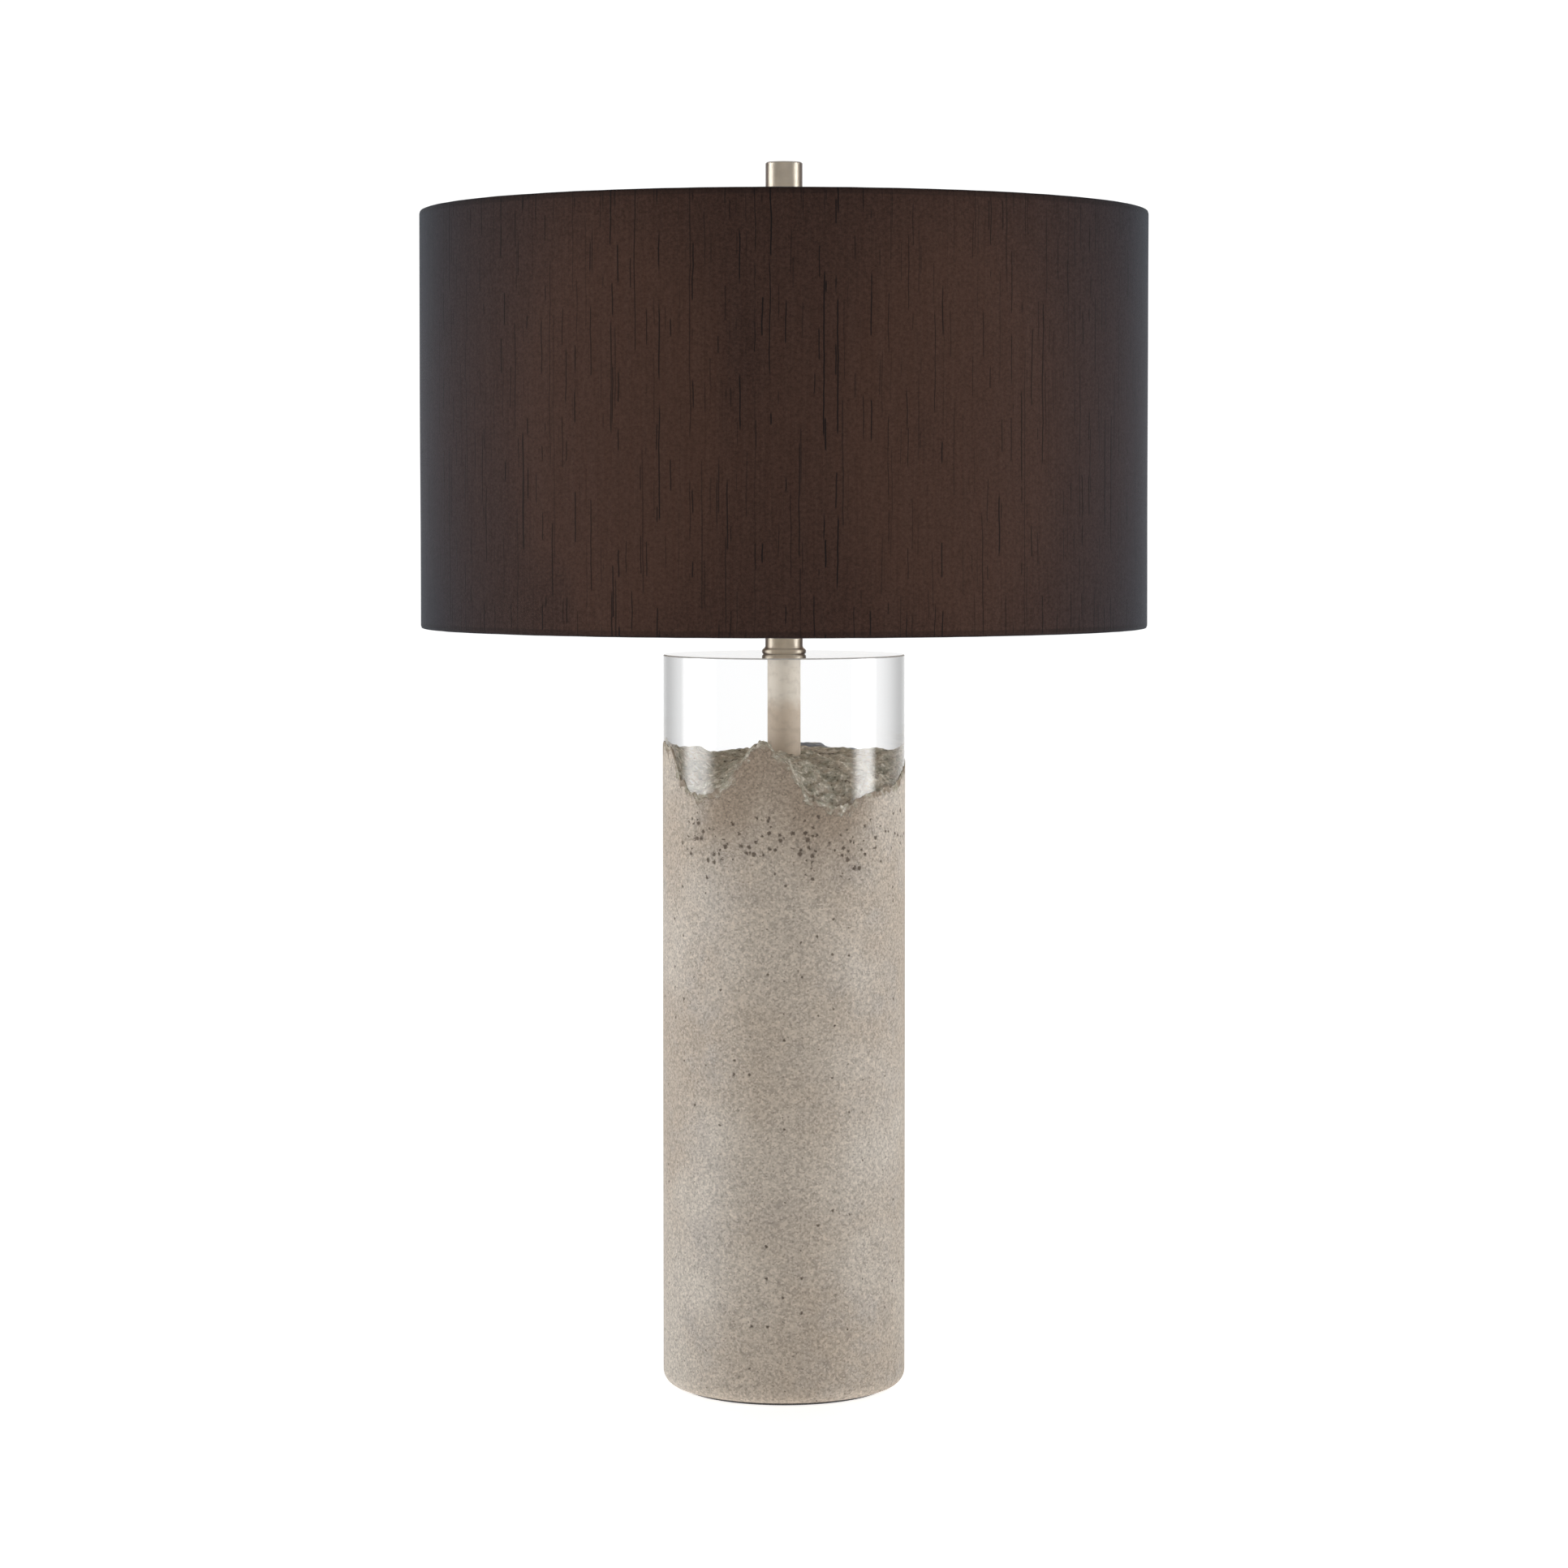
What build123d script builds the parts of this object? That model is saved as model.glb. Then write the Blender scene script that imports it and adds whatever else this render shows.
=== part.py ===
"""Table lamp: a hollow cast concrete column with a clear cast top, and a drum shade on a harp.

Millimetres, +Z up. The origin is the centre of the base on the table top.
-Y is the front, where the switch knob is; the cord outlet is at the back, +Y.
Every piece is written to parts/NAME.step.
"""

import os
from math import cos, radians, sin

from build123d import *

# ---- base: concrete column with a clear top ----
base_diameter = 153.0
base_height = 464.0  # table top to the clear top's upper face
pad_thickness = 2.0
pad_inset = 12.0  # felt pad's edge, in from the column's side
concrete_edge_radius = 9.0
clear_top_step = 0.4  # the clear top is this much smaller in radius than the concrete
clear_top_edge = 0.8
cavity_wall = 21.5  # concrete wall round the hollow
cavity_roof_drop = 116.0  # hollow's ceiling, below the top of the base
recess_wall = 15.5  # wall round the underside recess
recess_depth = 25.0
rod_clearance = 1.0  # radial, in the concrete

# The break between concrete and clear top: (direction in degrees from the front, positive to
# the right; drop of the rim and of a point half way in, both below the top of the base)
fracture = [
    (-90, 57, 61),
    (-77, 55, 63),
    (-66, 58, 66),
    (-56, 74, 67),
    (-49, 85, 66),
    (-38, 85, 65),
    (-27, 77, 64),
    (-20, 66, 62),
    (-10.5, 49, 60),
    (-5, 56, 62),
    (3, 66, 64),
    (8, 79, 65),
    (15, 87, 67),
    (27, 92, 66),
    (38, 87, 64),
    (50, 83, 66),
    (64, 82, 68),
    (80, 71, 67),
    (92, 67, 64),
    (108, 61, 62),
    (126, 70, 60),
    (146, 79, 62),
    (163, 66, 60),
    (178, 61, 61),
    (194, 66, 60),
    (212, 77, 62),
    (230, 81, 63),
    (248, 68, 60),
]
fracture_mid_share = 0.52  # radius of the half-way points, as a share of the column's
fracture_centre_drop = 62.0

# ---- lamp rod and what clamps it ----
rod_radius = 5.0
rod_bore_radius = 3.5
rod_end_height = 16.5  # lower end, above the table
plate_thickness = 3.0
plate_clearance = 1.0
flat_washer_radius = 16.0
flat_washer_thickness = 1.2
lock_washer_radius = 8.5
lock_washer_thickness = 1.4
lock_washer_gap = 1.5
rod_fit = 0.2  # radial clearance of everything threaded on the rod
nut_across_flats = 15.0
rod_nut_height = 4.6
saddle_nut_height = 4.0
sleeve_radius = 7.0
sleeve_seat_depth = 12.0  # how far the sleeve goes down into the concrete

# ---- cord outlet at the back ----
outlet_height = 15.0
outlet_radius = 5.5
outlet_spot_radius = 9.0
outlet_spot_depth = 1.1
bushing_bore_radius = 3.6
bushing_flange_radius = 8.0
bushing_flange_thickness = 1.6
bushing_lip = 0.8
bushing_lip_length = 1.8

# ---- neck ----
collar_radius = 13.9
collar_height = 5.5
neck_radius = 11.8
neck_wall = 1.0
neck_height = 27.5
neck_cap_height = 2.0

# ---- socket ----
hub_radius = 7.5
hub_height = 9.0
cap_height = 24.0
sheet_metal = 0.6
shell_gap = 0.25
shell_height = 46.0  # above the cap's lip line
shell_overlap = 6.0  # shell inside the cap
insulator_thickness = 0.6
insulator_gap = 0.15
set_screw_radius = 1.9
body_gap = 0.5
switch_body_height = 20.0
terminal_flat_depth = 4.3  # flats for the terminal screws
terminal_radius = 3.4
terminal_head = 1.8
terminal_stem_radius = 1.6
terminal_stem = 4.0
lampholder_radius = 13.4  # inside of the threaded shell
lampholder_wall = 0.5
lampholder_gap = 1.9  # round the threaded shell, inside the fibre sleeve
tongue_width = 6.0
tongue_rise = 2.6
tongue_thickness = 0.5

# ---- switch ----
switch_height = 12.0  # knob axis, above the shell's lower edge
shaft_radius = 2.2
shaft_clearance = 0.05
shaft_hole_clearance = 0.9
shaft_start = 8.0  # inner end, from the axis
knob_start = 21.5
knob_length = 15.0
knob_radius = 7.0
knob_flutes = 16
flute_radius = 0.9
knob_socket_depth = 8.0

# ---- bulb ----
bulb_length = 110.0
bulb_radius = 30.0
bulb_glass = 1.0
screw_cap_clearance = 0.4  # radial, in the threaded shell
screw_cap_height = 21.0
thread_pitch = 3.63
thread_depth = 0.8
thread_count = 4
screw_cap_wall = 0.5
tip_radius = 4.5
tip_height = 2.0
bulb_insulator_height = 3.2
tongue_gap = 0.3

# ---- harp ----
harp_height = 229.0  # saddle's underside to the shade's seat
saddle_thickness = 2.0
saddle_width = 13.0
saddle_arm_height = 20.0
saddle_prong_width = 4.0
saddle_prong_length = 11.0
saddle_half_span = 28.7  # outer face of the arms
harp_wire_radius = 1.5
harp_widest = 56.0
harp_leg_gap = 9.0  # leg's lower end, above the saddle's underside
harp_straight = 42.0  # straight leg, which leaves room for the ferrule to slide
harp_crown_radius = 7.0
seat_radius = 8.0
seat_thickness = 2.0
stud_radius = 3.1
stud_height = 14.0  # above the seat
rivet_radius = 2.4
rivet_head_radius = 4.5
rivet_head = 1.0
ferrule_radius = 4.3
ferrule_bore_radius = 3.5
ferrule_length = 15.0

# ---- shade ----
shade_diameter = 457.0
shade_height = 260.0
spider_drop = 13.0  # washer's seat, below the shade's upper edge
fabric_thickness = 0.6
liner_thickness = 0.8
liner_trim = 1.4  # liner's edge, in from the cloth's fold
ring_wire_radius = 1.7
hem_turn_in = 9.0
spider_wire_radius = 1.6
spider_arm_bend = 10.0  # the arms start to rise this far in from the ring
spider_arm_count = 3
spider_first_arm = 90.0  # degrees from +X: one arm points to the back
washer_radius = 14.0
washer_thickness = 1.5
washer_clearance = 0.3
turning_gap = 0.1  # flat faces that turn on each other

# ---- finial ----
finial_radius = 11.6
finial_height = 43.0
finial_stem_radius = 6.0
finial_stem_height = 7.0
finial_edge = 0.7

# ---- what follows from them ----
base_radius = base_diameter / 2
recess_roof = pad_thickness + recess_depth
plate_underside = recess_roof - plate_thickness
washer_underside = plate_underside - flat_washer_thickness
lock_underside = washer_underside - lock_washer_thickness
neck_start = base_height + collar_height
saddle_start = neck_start + neck_height + neck_cap_height
saddle_top = saddle_start + saddle_thickness
cap_start = saddle_top + saddle_nut_height
rod_end = cap_start + hub_height - 1.5
cap_lip = cap_start + cap_height
shell_start = cap_lip - shell_overlap
shell_top = cap_lip + shell_height
insulator_radius = lampholder_radius + lampholder_wall + lampholder_gap + insulator_thickness
shell_radius = insulator_radius + insulator_gap + sheet_metal
cap_radius = shell_radius + shell_gap + sheet_metal
body_start = shell_start + 1.0
body_radius = insulator_radius - insulator_thickness - body_gap
terminal_flat = body_radius - terminal_flat_depth
screw_cap_radius = lampholder_radius - screw_cap_clearance
body_top = body_start + switch_body_height
switch_axis = shell_start + switch_height
bulb_start = body_top + tongue_rise + tongue_gap
screw_cap_start = bulb_start + tip_height + bulb_insulator_height
screw_cap_end = screw_cap_start + screw_cap_height
bulb_top = bulb_start + bulb_length
seat_height = saddle_start + harp_height
shade_top = seat_height + spider_drop
shade_bottom = shade_top - shade_height
shade_radius = shade_diameter / 2
liner_radius = shade_radius - fabric_thickness
ring_radius = liner_radius - liner_thickness - ring_wire_radius
ring_inset = fabric_thickness + ring_wire_radius  # ring's centreline, in from the shade's edge
washer_start = seat_height + turning_gap
finial_start = washer_start + washer_thickness + turning_gap
ferrule_centre = saddle_half_span + harp_wire_radius - 0.75
leg_centre = saddle_half_span + harp_wire_radius
ferrule_start = saddle_start + harp_leg_gap

up_from_base = (Align.CENTER, Align.CENTER, Align.MIN)


def rod(radius, low, high):
    """A solid cylinder about the lamp's axis."""
    return Pos(0, 0, low) * Cylinder(radius, high - low, align=up_from_base)


def tube(outer, inner, low, high):
    return rod(outer, low, high) - rod(inner, low - 1, high + 1)


def turned(*points):
    """A solid of revolution from (radius, height) corners."""
    return revolve(Plane.XZ * make_face(Polyline(*points, close=True)), Axis.Z)


def lying_back(radius, start, end, height):
    """A cylinder along Y, from start to end, at a height."""
    length = end - start
    return Pos(0, start, height) * Rot(-90, 0, 0) * Cylinder(radius, length, align=up_from_base)


def hex_nut(height, low):
    prism = extrude(RegularPolygon(nut_across_flats / 2, 6, major_radius=False), height)
    nut = Pos(0, 0, low) * prism
    bevel = turned(
        (0, low),
        (nut_across_flats / 2, low),
        (nut_across_flats / 2 * 1.16, low + 1),
        (nut_across_flats / 2 * 1.16, low + height - 1),
        (nut_across_flats / 2, low + height),
        (0, low + height),
    )
    return (nut & bevel) - rod(rod_radius + rod_fit, low - 1, low + height + 1)


def at_direction(radius, direction, height):
    """A point at a direction from the front, in degrees, positive to the right."""
    return Vector(radius * sin(radians(direction)), -radius * cos(radians(direction)), height)


def above_fracture():
    """The space above the break: flat facets from the centre out past the column's side."""
    reach = 1.25
    mid_radius = base_radius * fracture_mid_share
    centre = Vector(0, 0, base_height - fracture_centre_drop)
    lid_height = base_height + 20
    lid_centre = Vector(0, 0, lid_height)
    mids, outers, lids = [], [], []
    for direction, rim_drop, mid_drop in fracture:
        slope = (rim_drop - mid_drop) / (1 - fracture_mid_share)
        outer_drop = rim_drop + slope * (reach - 1)
        mids.append(at_direction(mid_radius, direction, base_height - mid_drop))
        outers.append(at_direction(base_radius * reach, direction, base_height - outer_drop))
        lids.append(at_direction(base_radius * reach, direction, lid_height))
    faces = []
    for here in range(len(fracture)):
        there = (here + 1) % len(fracture)
        corners = [
            (centre, mids[here], mids[there]),
            (mids[here], outers[here], outers[there]),
            (mids[here], outers[there], mids[there]),
            (outers[here], lids[here], lids[there]),
            (outers[here], lids[there], outers[there]),
            (lid_centre, lids[there], lids[here]),
        ]
        faces += [Face(Wire.make_polygon(three, close=True)) for three in corners]
    return Solid(Shell(faces))


def bore_seat():
    return base_height - fracture_centre_drop - sleeve_seat_depth


def concrete_body():
    """Hollow casting with a broken upper surface and a recess underneath."""
    top = base_height - 20
    column = rod(base_radius, pad_thickness, top)
    bottom_edge = column.edges().group_by(Axis.Z)[0]
    column = fillet(bottom_edge, concrete_edge_radius)
    column -= above_fracture()
    column -= rod(base_radius - recess_wall, pad_thickness - 1, recess_roof)
    column -= rod(base_radius - cavity_wall, recess_roof - 1, base_height - cavity_roof_drop)
    column -= rod(rod_radius + rod_clearance, recess_roof, base_height)
    column -= rod(sleeve_radius, bore_seat(), base_height)
    column -= lying_back(outlet_radius, 0, base_radius + 1, outlet_height)
    spot = base_radius - outlet_spot_depth
    column -= lying_back(outlet_spot_radius, spot, base_radius + 1, outlet_height)
    return column


def clear_top():
    radius = base_radius - clear_top_step
    low = base_height - max(rim for _, rim, _ in fracture) - 10
    block = rod(radius, low, base_height)
    block = chamfer(block.edges().group_by(Axis.Z)[-1], clear_top_edge)
    return (block & above_fracture()) - rod(sleeve_radius, low - 1, base_height + 1)


def cord_bushing():
    """Snap-in plastic bushing that protects the cord where it leaves the concrete."""
    spot = base_radius - outlet_spot_depth
    inner = base_radius - recess_wall - bushing_lip_length
    sleeve = lying_back(outlet_radius - 0.15, inner, spot, outlet_height)
    flange = lying_back(bushing_flange_radius, spot, spot + bushing_flange_thickness, outlet_height)
    flange = fillet(flange.edges().group_by(Axis.Y)[-1], 0.6)
    return sleeve + flange - lying_back(bushing_bore_radius, 0, base_radius + 9, outlet_height)


def lock_washer():
    ring = tube(lock_washer_radius, rod_radius + rod_fit, lock_underside, washer_underside)
    slot = Box(lock_washer_radius + 2, lock_washer_gap, 9, align=(Align.MIN, Align.CENTER, Align.CENTER))
    return ring - Pos(0, 0, lock_underside) * Rot(0, 0, 35) * slot


def collar_ring():
    """Turned check ring: a bead below, and a hollow curve up to the neck."""
    bead = collar_height * 0.62
    with BuildPart() as ring:
        with BuildSketch(Plane.XZ):
            with BuildLine():
                bore = rod_radius + rod_fit
                Line((bore, base_height), (collar_radius - 1, base_height))
                ThreePointArc(
                    (collar_radius - 1, base_height),
                    (collar_radius, base_height + bead / 2),
                    (collar_radius - 0.8, base_height + bead),
                )
                ThreePointArc(
                    (collar_radius - 0.8, base_height + bead),
                    (neck_radius + 0.5, base_height + bead + 0.6),
                    (neck_radius, neck_start),
                )
                Line((neck_radius, neck_start), (bore, neck_start))
                Line((bore, neck_start), (bore, base_height))
            make_face()
        revolve(axis=Axis.Z)
    return ring.part


def neck_cap():
    low = neck_start + neck_height
    disc = rod(neck_radius + 0.8, low, saddle_start)
    disc = fillet(disc.edges(), 0.7)
    return disc - rod(rod_radius + rod_fit, low - 1, saddle_start + 1)


def harp_saddle():
    """Bent strip under the socket, with a prong at each end for the harp."""
    span = saddle_half_span
    arm_top = saddle_start + saddle_arm_height
    shoulder = arm_top - saddle_prong_length
    profile = Polyline(
        (-span, saddle_start),
        (span, saddle_start),
        (span, arm_top),
        (span - saddle_thickness, arm_top),
        (span - saddle_thickness, saddle_top),
        (saddle_thickness - span, saddle_top),
        (saddle_thickness - span, arm_top),
        (-span, arm_top),
        close=True,
    )
    strip = extrude(Plane.XZ * make_face(profile), saddle_width / 2, both=True)
    strip = fillet(strip.edges().filter_by(Axis.Y).group_by(Axis.Z)[0], saddle_thickness * 1.2)
    waste = (saddle_width - saddle_prong_width) / 2
    for side in (-1, 1):
        centre = side * (saddle_prong_width + waste) / 2
        strip -= Pos(0, centre, shoulder) * Box(3 * span, waste, 99, align=up_from_base)
    strip -= Pos(0, 0, shoulder) * tube(2 * span, span - 0.05, -0.5, 99)
    return strip - rod(rod_radius + rod_fit, saddle_start - 1, saddle_top + 1)


def harp_line():
    """Centreline of the harp's wire, from the left leg over the crown to the right leg."""
    foot = ferrule_start
    knee = foot + harp_straight
    crown = seat_height - seat_thickness - harp_wire_radius
    rise = crown - knee
    left = [
        (-leg_centre, foot),
        (-leg_centre, knee),
        (-harp_widest, knee + rise * 0.33),
        (-harp_widest, knee + rise * 0.72),
        (-harp_widest * 0.55, crown),
    ]
    points = left + [(-x, z) for x, z in reversed(left)]
    bends = [30, 45, 60, 38]
    line = FilletPolyline(*points, radius=bends + bends[::-1])
    return Plane.XZ * line


def harp_loop():
    line = harp_line()
    wire = sweep(Plane(line @ 0, z_dir=line % 0) * Circle(harp_wire_radius), path=line)
    under = seat_height - seat_thickness - 2 * harp_wire_radius
    crown = rod(harp_crown_radius, under, seat_height - seat_thickness)
    return wire + crown - rod(rivet_radius, under - 9, seat_height + 9)


def harp_stud():
    """Riveted stud: the head below the crown, the seat for the shade, and the finial's thread."""
    seat = seat_height - seat_thickness
    under = seat - 2 * harp_wire_radius
    tip = seat_height + stud_height
    return turned(
        (0, under - rivet_head),
        (rivet_head_radius - 0.6, under - rivet_head),
        (rivet_head_radius, under),
        (rivet_radius, under),
        (rivet_radius, seat),
        (seat_radius, seat),
        (seat_radius, seat_height),
        (stud_radius, seat_height),
        (stud_radius, tip - 0.6),
        (stud_radius - 0.6, tip),
        (0, tip),
    )


def harp_ferrule(side):
    low = ferrule_start + turning_gap
    outer = rod(ferrule_radius, low, low + ferrule_length)
    outer = fillet(outer.edges().group_by(Axis.Z)[-1], 0.6)
    bore = rod(ferrule_bore_radius, low - 1, low + ferrule_length + 1)
    return Pos(side * ferrule_centre, 0, 0) * (outer - bore)


def socket_cap():
    """Spun cup that screws on the rod by its hub, with a set screw hole in the hub."""
    hub_top = cap_start + hub_height
    bore = rod_radius + rod_fit
    inside = cap_radius - sheet_metal
    cup = turned(
        (bore, cap_start),
        (hub_radius, cap_start),
        (hub_radius, hub_top - 2),
        (cap_radius - 2, cap_lip - 9),
        (cap_radius, cap_lip - 7),
        (cap_radius, cap_lip),
        (inside, cap_lip),
        (inside, cap_lip - 6.9),
        (cap_radius - 2.5, cap_lip - 8.4),
        (hub_radius - 0.4, hub_top - 0.8),
        (bore, hub_top - 0.8),
    )
    return cup - lying_back(set_screw_radius, 0, cap_radius, cap_start + hub_height / 3)


def socket_set_screw():
    height = cap_start + hub_height / 3
    start = rod_radius + rod_fit
    screw = lying_back(set_screw_radius - 0.05, start, start + 4.0, height)
    slot = Pos(0, start + 4.0, height) * Box(5, 1.4, 0.6)
    return screw - slot


def shaft_hole(part):
    hole_radius = shaft_radius + shaft_hole_clearance
    hole = lying_back(hole_radius, -2 * cap_radius, -lampholder_radius / 2, switch_axis)
    return part - hole


def socket_shell():
    """Outer shell with two raised rings, and a hole for the switch shaft."""
    outer = tube(shell_radius, shell_radius - sheet_metal, shell_start, shell_top)
    bead = 0.5
    for height in (shell_top - 2, cap_lip + 3):
        outer += turned(
            (shell_radius - 0.2, height - 1),
            (shell_radius + bead, height - 0.4),
            (shell_radius + bead, height + 0.4),
            (shell_radius - 0.2, height + 1),
        )
    return shaft_hole(outer)


def socket_insulator():
    inside = insulator_radius - insulator_thickness
    sleeve = tube(insulator_radius, inside, shell_start + 0.5, shell_top - 0.5)
    return shaft_hole(sleeve)


def socket_body():
    """Moulded switch body. Its two flats carry the terminal screws."""
    block = rod(body_radius, body_start, body_top)
    keep = Box(2 * terminal_flat, 4 * body_radius, 4 * body_top)
    block &= keep
    for side in (-1, 1):
        block -= terminal_hole(side)
    return block - lying_back(shaft_radius + shaft_clearance, -2 * body_radius, 0, switch_axis)


def terminal_hole(side):
    length = 2 * terminal_stem
    start = terminal_flat - terminal_stem
    hole = Cylinder(terminal_stem_radius, length, align=up_from_base)
    return Pos(side * start, 0, switch_axis) * Rot(0, side * 90, 0) * hole


def terminal_screw(side):
    stem = Cylinder(terminal_stem_radius, terminal_stem, align=up_from_base)
    head = Pos(0, 0, terminal_stem) * Cylinder(terminal_radius, terminal_head, align=up_from_base)
    slot = Pos(0, 0, terminal_stem + terminal_head) * Box(9, 0.9, 1.2)
    start = terminal_flat - terminal_stem
    return Pos(side * start, 0, switch_axis) * Rot(0, side * 90, 0) * (stem + head - slot)


def lampholder_shell():
    """Rolled-thread shell that takes the bulb, riveted on the switch body."""
    outer = lampholder_radius + lampholder_wall
    shell = tube(outer, lampholder_radius, body_top, shell_top - 1)
    floor = tube(outer, terminal_radius + 2, body_top, body_top + lampholder_wall)
    return shell + floor


def centre_contact():
    """Bent spring tongue under the bulb's tip."""
    reach = terminal_radius + 1
    profile = Polyline(
        (-reach, body_top),
        (0, body_top),
        (reach, body_top + tongue_rise - tongue_thickness),
        (reach, body_top + tongue_rise),
        (0, body_top + tongue_thickness),
        (-reach, body_top + tongue_thickness),
        close=True,
    )
    return extrude(Plane.XZ * make_face(profile), tongue_width / 2, both=True)


def switch_shaft():
    return lying_back(shaft_radius, -knob_start - knob_socket_depth, -shaft_start, switch_axis)


def switch_knob():
    """Moulded knob with fluted sides and a domed end."""
    end = -knob_start - knob_length
    knob = lying_back(knob_radius, end, -knob_start, switch_axis)
    knob = fillet(knob.edges().group_by(Axis.Y)[0], 2.5)
    knob = fillet(knob.edges().group_by(Axis.Y)[-1], 0.8)
    for flute in range(knob_flutes):
        angle = radians(360 / knob_flutes * flute)
        groove = lying_back(flute_radius, end - 1, -knob_start - 3, switch_axis + knob_radius * cos(angle))
        knob -= Pos(knob_radius * sin(angle), 0, 0) * groove
    return knob - lying_back(shaft_radius, -knob_start - knob_socket_depth, 0, switch_axis)


def bulb_outline(inset):
    """Half outline of the glass, from the neck to the crown, inset by the glass thickness."""
    neck = screw_cap_radius - screw_cap_wall - 0.2 - inset
    start = screw_cap_end - 3.2
    centre = bulb_top - bulb_radius
    wide = bulb_radius - inset
    with BuildLine() as outline:
        Line((0, start), (neck, start))
        Line((neck, start), (neck, screw_cap_end + 1))
        Spline((neck, screw_cap_end + 1), (wide, centre), tangents=((0.15, 1), (0, 1)))
        RadiusArc((wide, centre), (0, centre + wide), -wide)
        Line((0, centre + wide), (0, start))
    return Plane.XZ * outline.line


def bulb_globe():
    solid = revolve(make_face(bulb_outline(0)), Axis.Z)
    hollow = revolve(make_face(bulb_outline(bulb_glass)), Axis.Z)
    return solid - hollow


def bulb_screw_cap():
    """Rolled cap with thread rings, open at the top for the glass and at the bottom."""
    outer, inner = screw_cap_radius, screw_cap_radius - screw_cap_wall
    points = [(outer - thread_depth, screw_cap_start)]
    for ring in range(thread_count):
        low = screw_cap_start + 1.5 + ring * thread_pitch
        points += [
            (outer - thread_depth, low),
            (outer, low + thread_pitch * 0.35),
            (outer, low + thread_pitch * 0.55),
            (outer - thread_depth, low + thread_pitch * 0.9),
        ]
    points += [(outer, screw_cap_end - 3), (outer, screw_cap_end), (inner, screw_cap_end)]
    points += [(inner, screw_cap_end - 3.5), (inner - thread_depth, screw_cap_end - 4.5)]
    points += [(inner - thread_depth, screw_cap_start)]
    return turned(*points)


def bulb_insulator():
    top = screw_cap_start
    low = bulb_start + tip_height
    return turned((0, low), (tip_radius + 0.6, low), (screw_cap_radius - 1.2, top), (0, top))


def bulb_tip():
    tip = rod(tip_radius, bulb_start, bulb_start + tip_height)
    return fillet(tip.edges().group_by(Axis.Z)[0], 1.2)


def bulb_stem():
    """Glass mount inside the bulb."""
    low = screw_cap_end - 2
    height = bulb_top - bulb_radius - low - 12
    return turned(
        (0, low),
        (9, low),
        (4.5, low + 8),
        (3, low + height * 0.6),
        (4, low + height),
        (0, low + height + 1),
    )


def bulb_filament():
    """Two support wires and the coil between them."""
    low = screw_cap_end + 10
    high = bulb_top - bulb_radius - 2
    wire = 0.4
    half = 9.0
    posts = []
    for side in (-1, 1):
        line = Polyline((side * 5.2, 0, low), (side * half, 0, high))
        posts.append(sweep(Plane(line @ 0, z_dir=line % 0) * Circle(wire), path=line))
    coil = Pos(-half - 1, 0, high) * Rot(0, 90, 0) * Cylinder(0.9, 2 * half + 2, align=up_from_base)
    return coil + posts[0] + posts[1]


def spider_washer():
    ring = rod(washer_radius, washer_start, washer_start + washer_thickness)
    ring = fillet(ring.edges(), 0.3)
    return ring - rod(stud_radius + washer_clearance, washer_start - 1, washer_start + 9)


def spider_arm_line():
    """Centreline of the arm along +X: level from the washer, then up to the ring."""
    level = washer_start + washer_thickness / 2
    ring_height = shade_top - ring_inset
    bend = ring_radius - spider_arm_bend
    points = [(washer_radius - 2, level), (bend - 8, level), (ring_radius, ring_height)]
    return Plane.XZ * FilletPolyline(*points, radius=18)


def around_spider(part):
    """A copy of the part for each arm's direction."""
    step = 360 / spider_arm_count
    return [Rot(0, 0, spider_first_arm + step * arm) * part for arm in range(spider_arm_count)]


def spider_arms():
    """Wire arms, butted on the washer's rim and on the upper wire ring."""
    line = spider_arm_line()
    arm = sweep(Plane(line @ 0, z_dir=line % 0) * Circle(spider_wire_radius), path=line)
    arm -= rod(washer_radius, washer_start - 9, washer_start + 9)
    arm -= shade_ring(shade_top - ring_inset)
    return Compound(around_spider(arm))


def shade_ring(height):
    return Pos(0, 0, height) * Torus(ring_radius, ring_wire_radius)


def shade_liner():
    """Plain drum, trimmed so that only the cloth goes round the wire rings."""
    trim = fabric_thickness + liner_trim
    inner = liner_radius - liner_thickness
    return tube(liner_radius, inner, shade_bottom + trim, shade_top - trim)


def hem(edge, inward):
    """Turned-in fabric at one edge: over the wire ring and back against the liner."""
    half = fabric_thickness / 2
    ring_inside = ring_radius - ring_wire_radius - half
    liner_inside = liner_radius - liner_thickness - half
    turn = 2 * ring_wire_radius + 2 * fabric_thickness
    middle = (shade_top + shade_bottom) / 2
    points = [
        (shade_radius - half, middle),
        (shade_radius - half, edge + inward * half),
        (ring_inside, edge + inward * half),
        (ring_inside, edge + inward * turn),
        (liner_inside, edge + inward * (turn + 2.5)),
        (liner_inside, edge + inward * (hem_turn_in + 2)),
    ]
    line = FilletPolyline(*points, radius=[1.6, 1.6, 1.0, 1.0])
    return make_face(offset(line, fabric_thickness / 2, side=Side.BOTH))


def shade_fabric():
    """One skin of cloth over the liner, turned in round both wire rings."""
    upper = revolve(Plane.XZ * hem(shade_top, -1), Axis.Z)
    lower = revolve(Plane.XZ * hem(shade_bottom, 1), Axis.Z)
    skin = upper + lower
    line = spider_arm_line()
    slit = sweep(Plane(line @ 0, z_dir=line % 0) * Circle(spider_wire_radius + 0.3), path=line)
    inside = rod(liner_radius - liner_thickness, shade_bottom, shade_top + 1)
    for cut in around_spider(slit):
        skin -= cut & inside
    return skin


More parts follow.
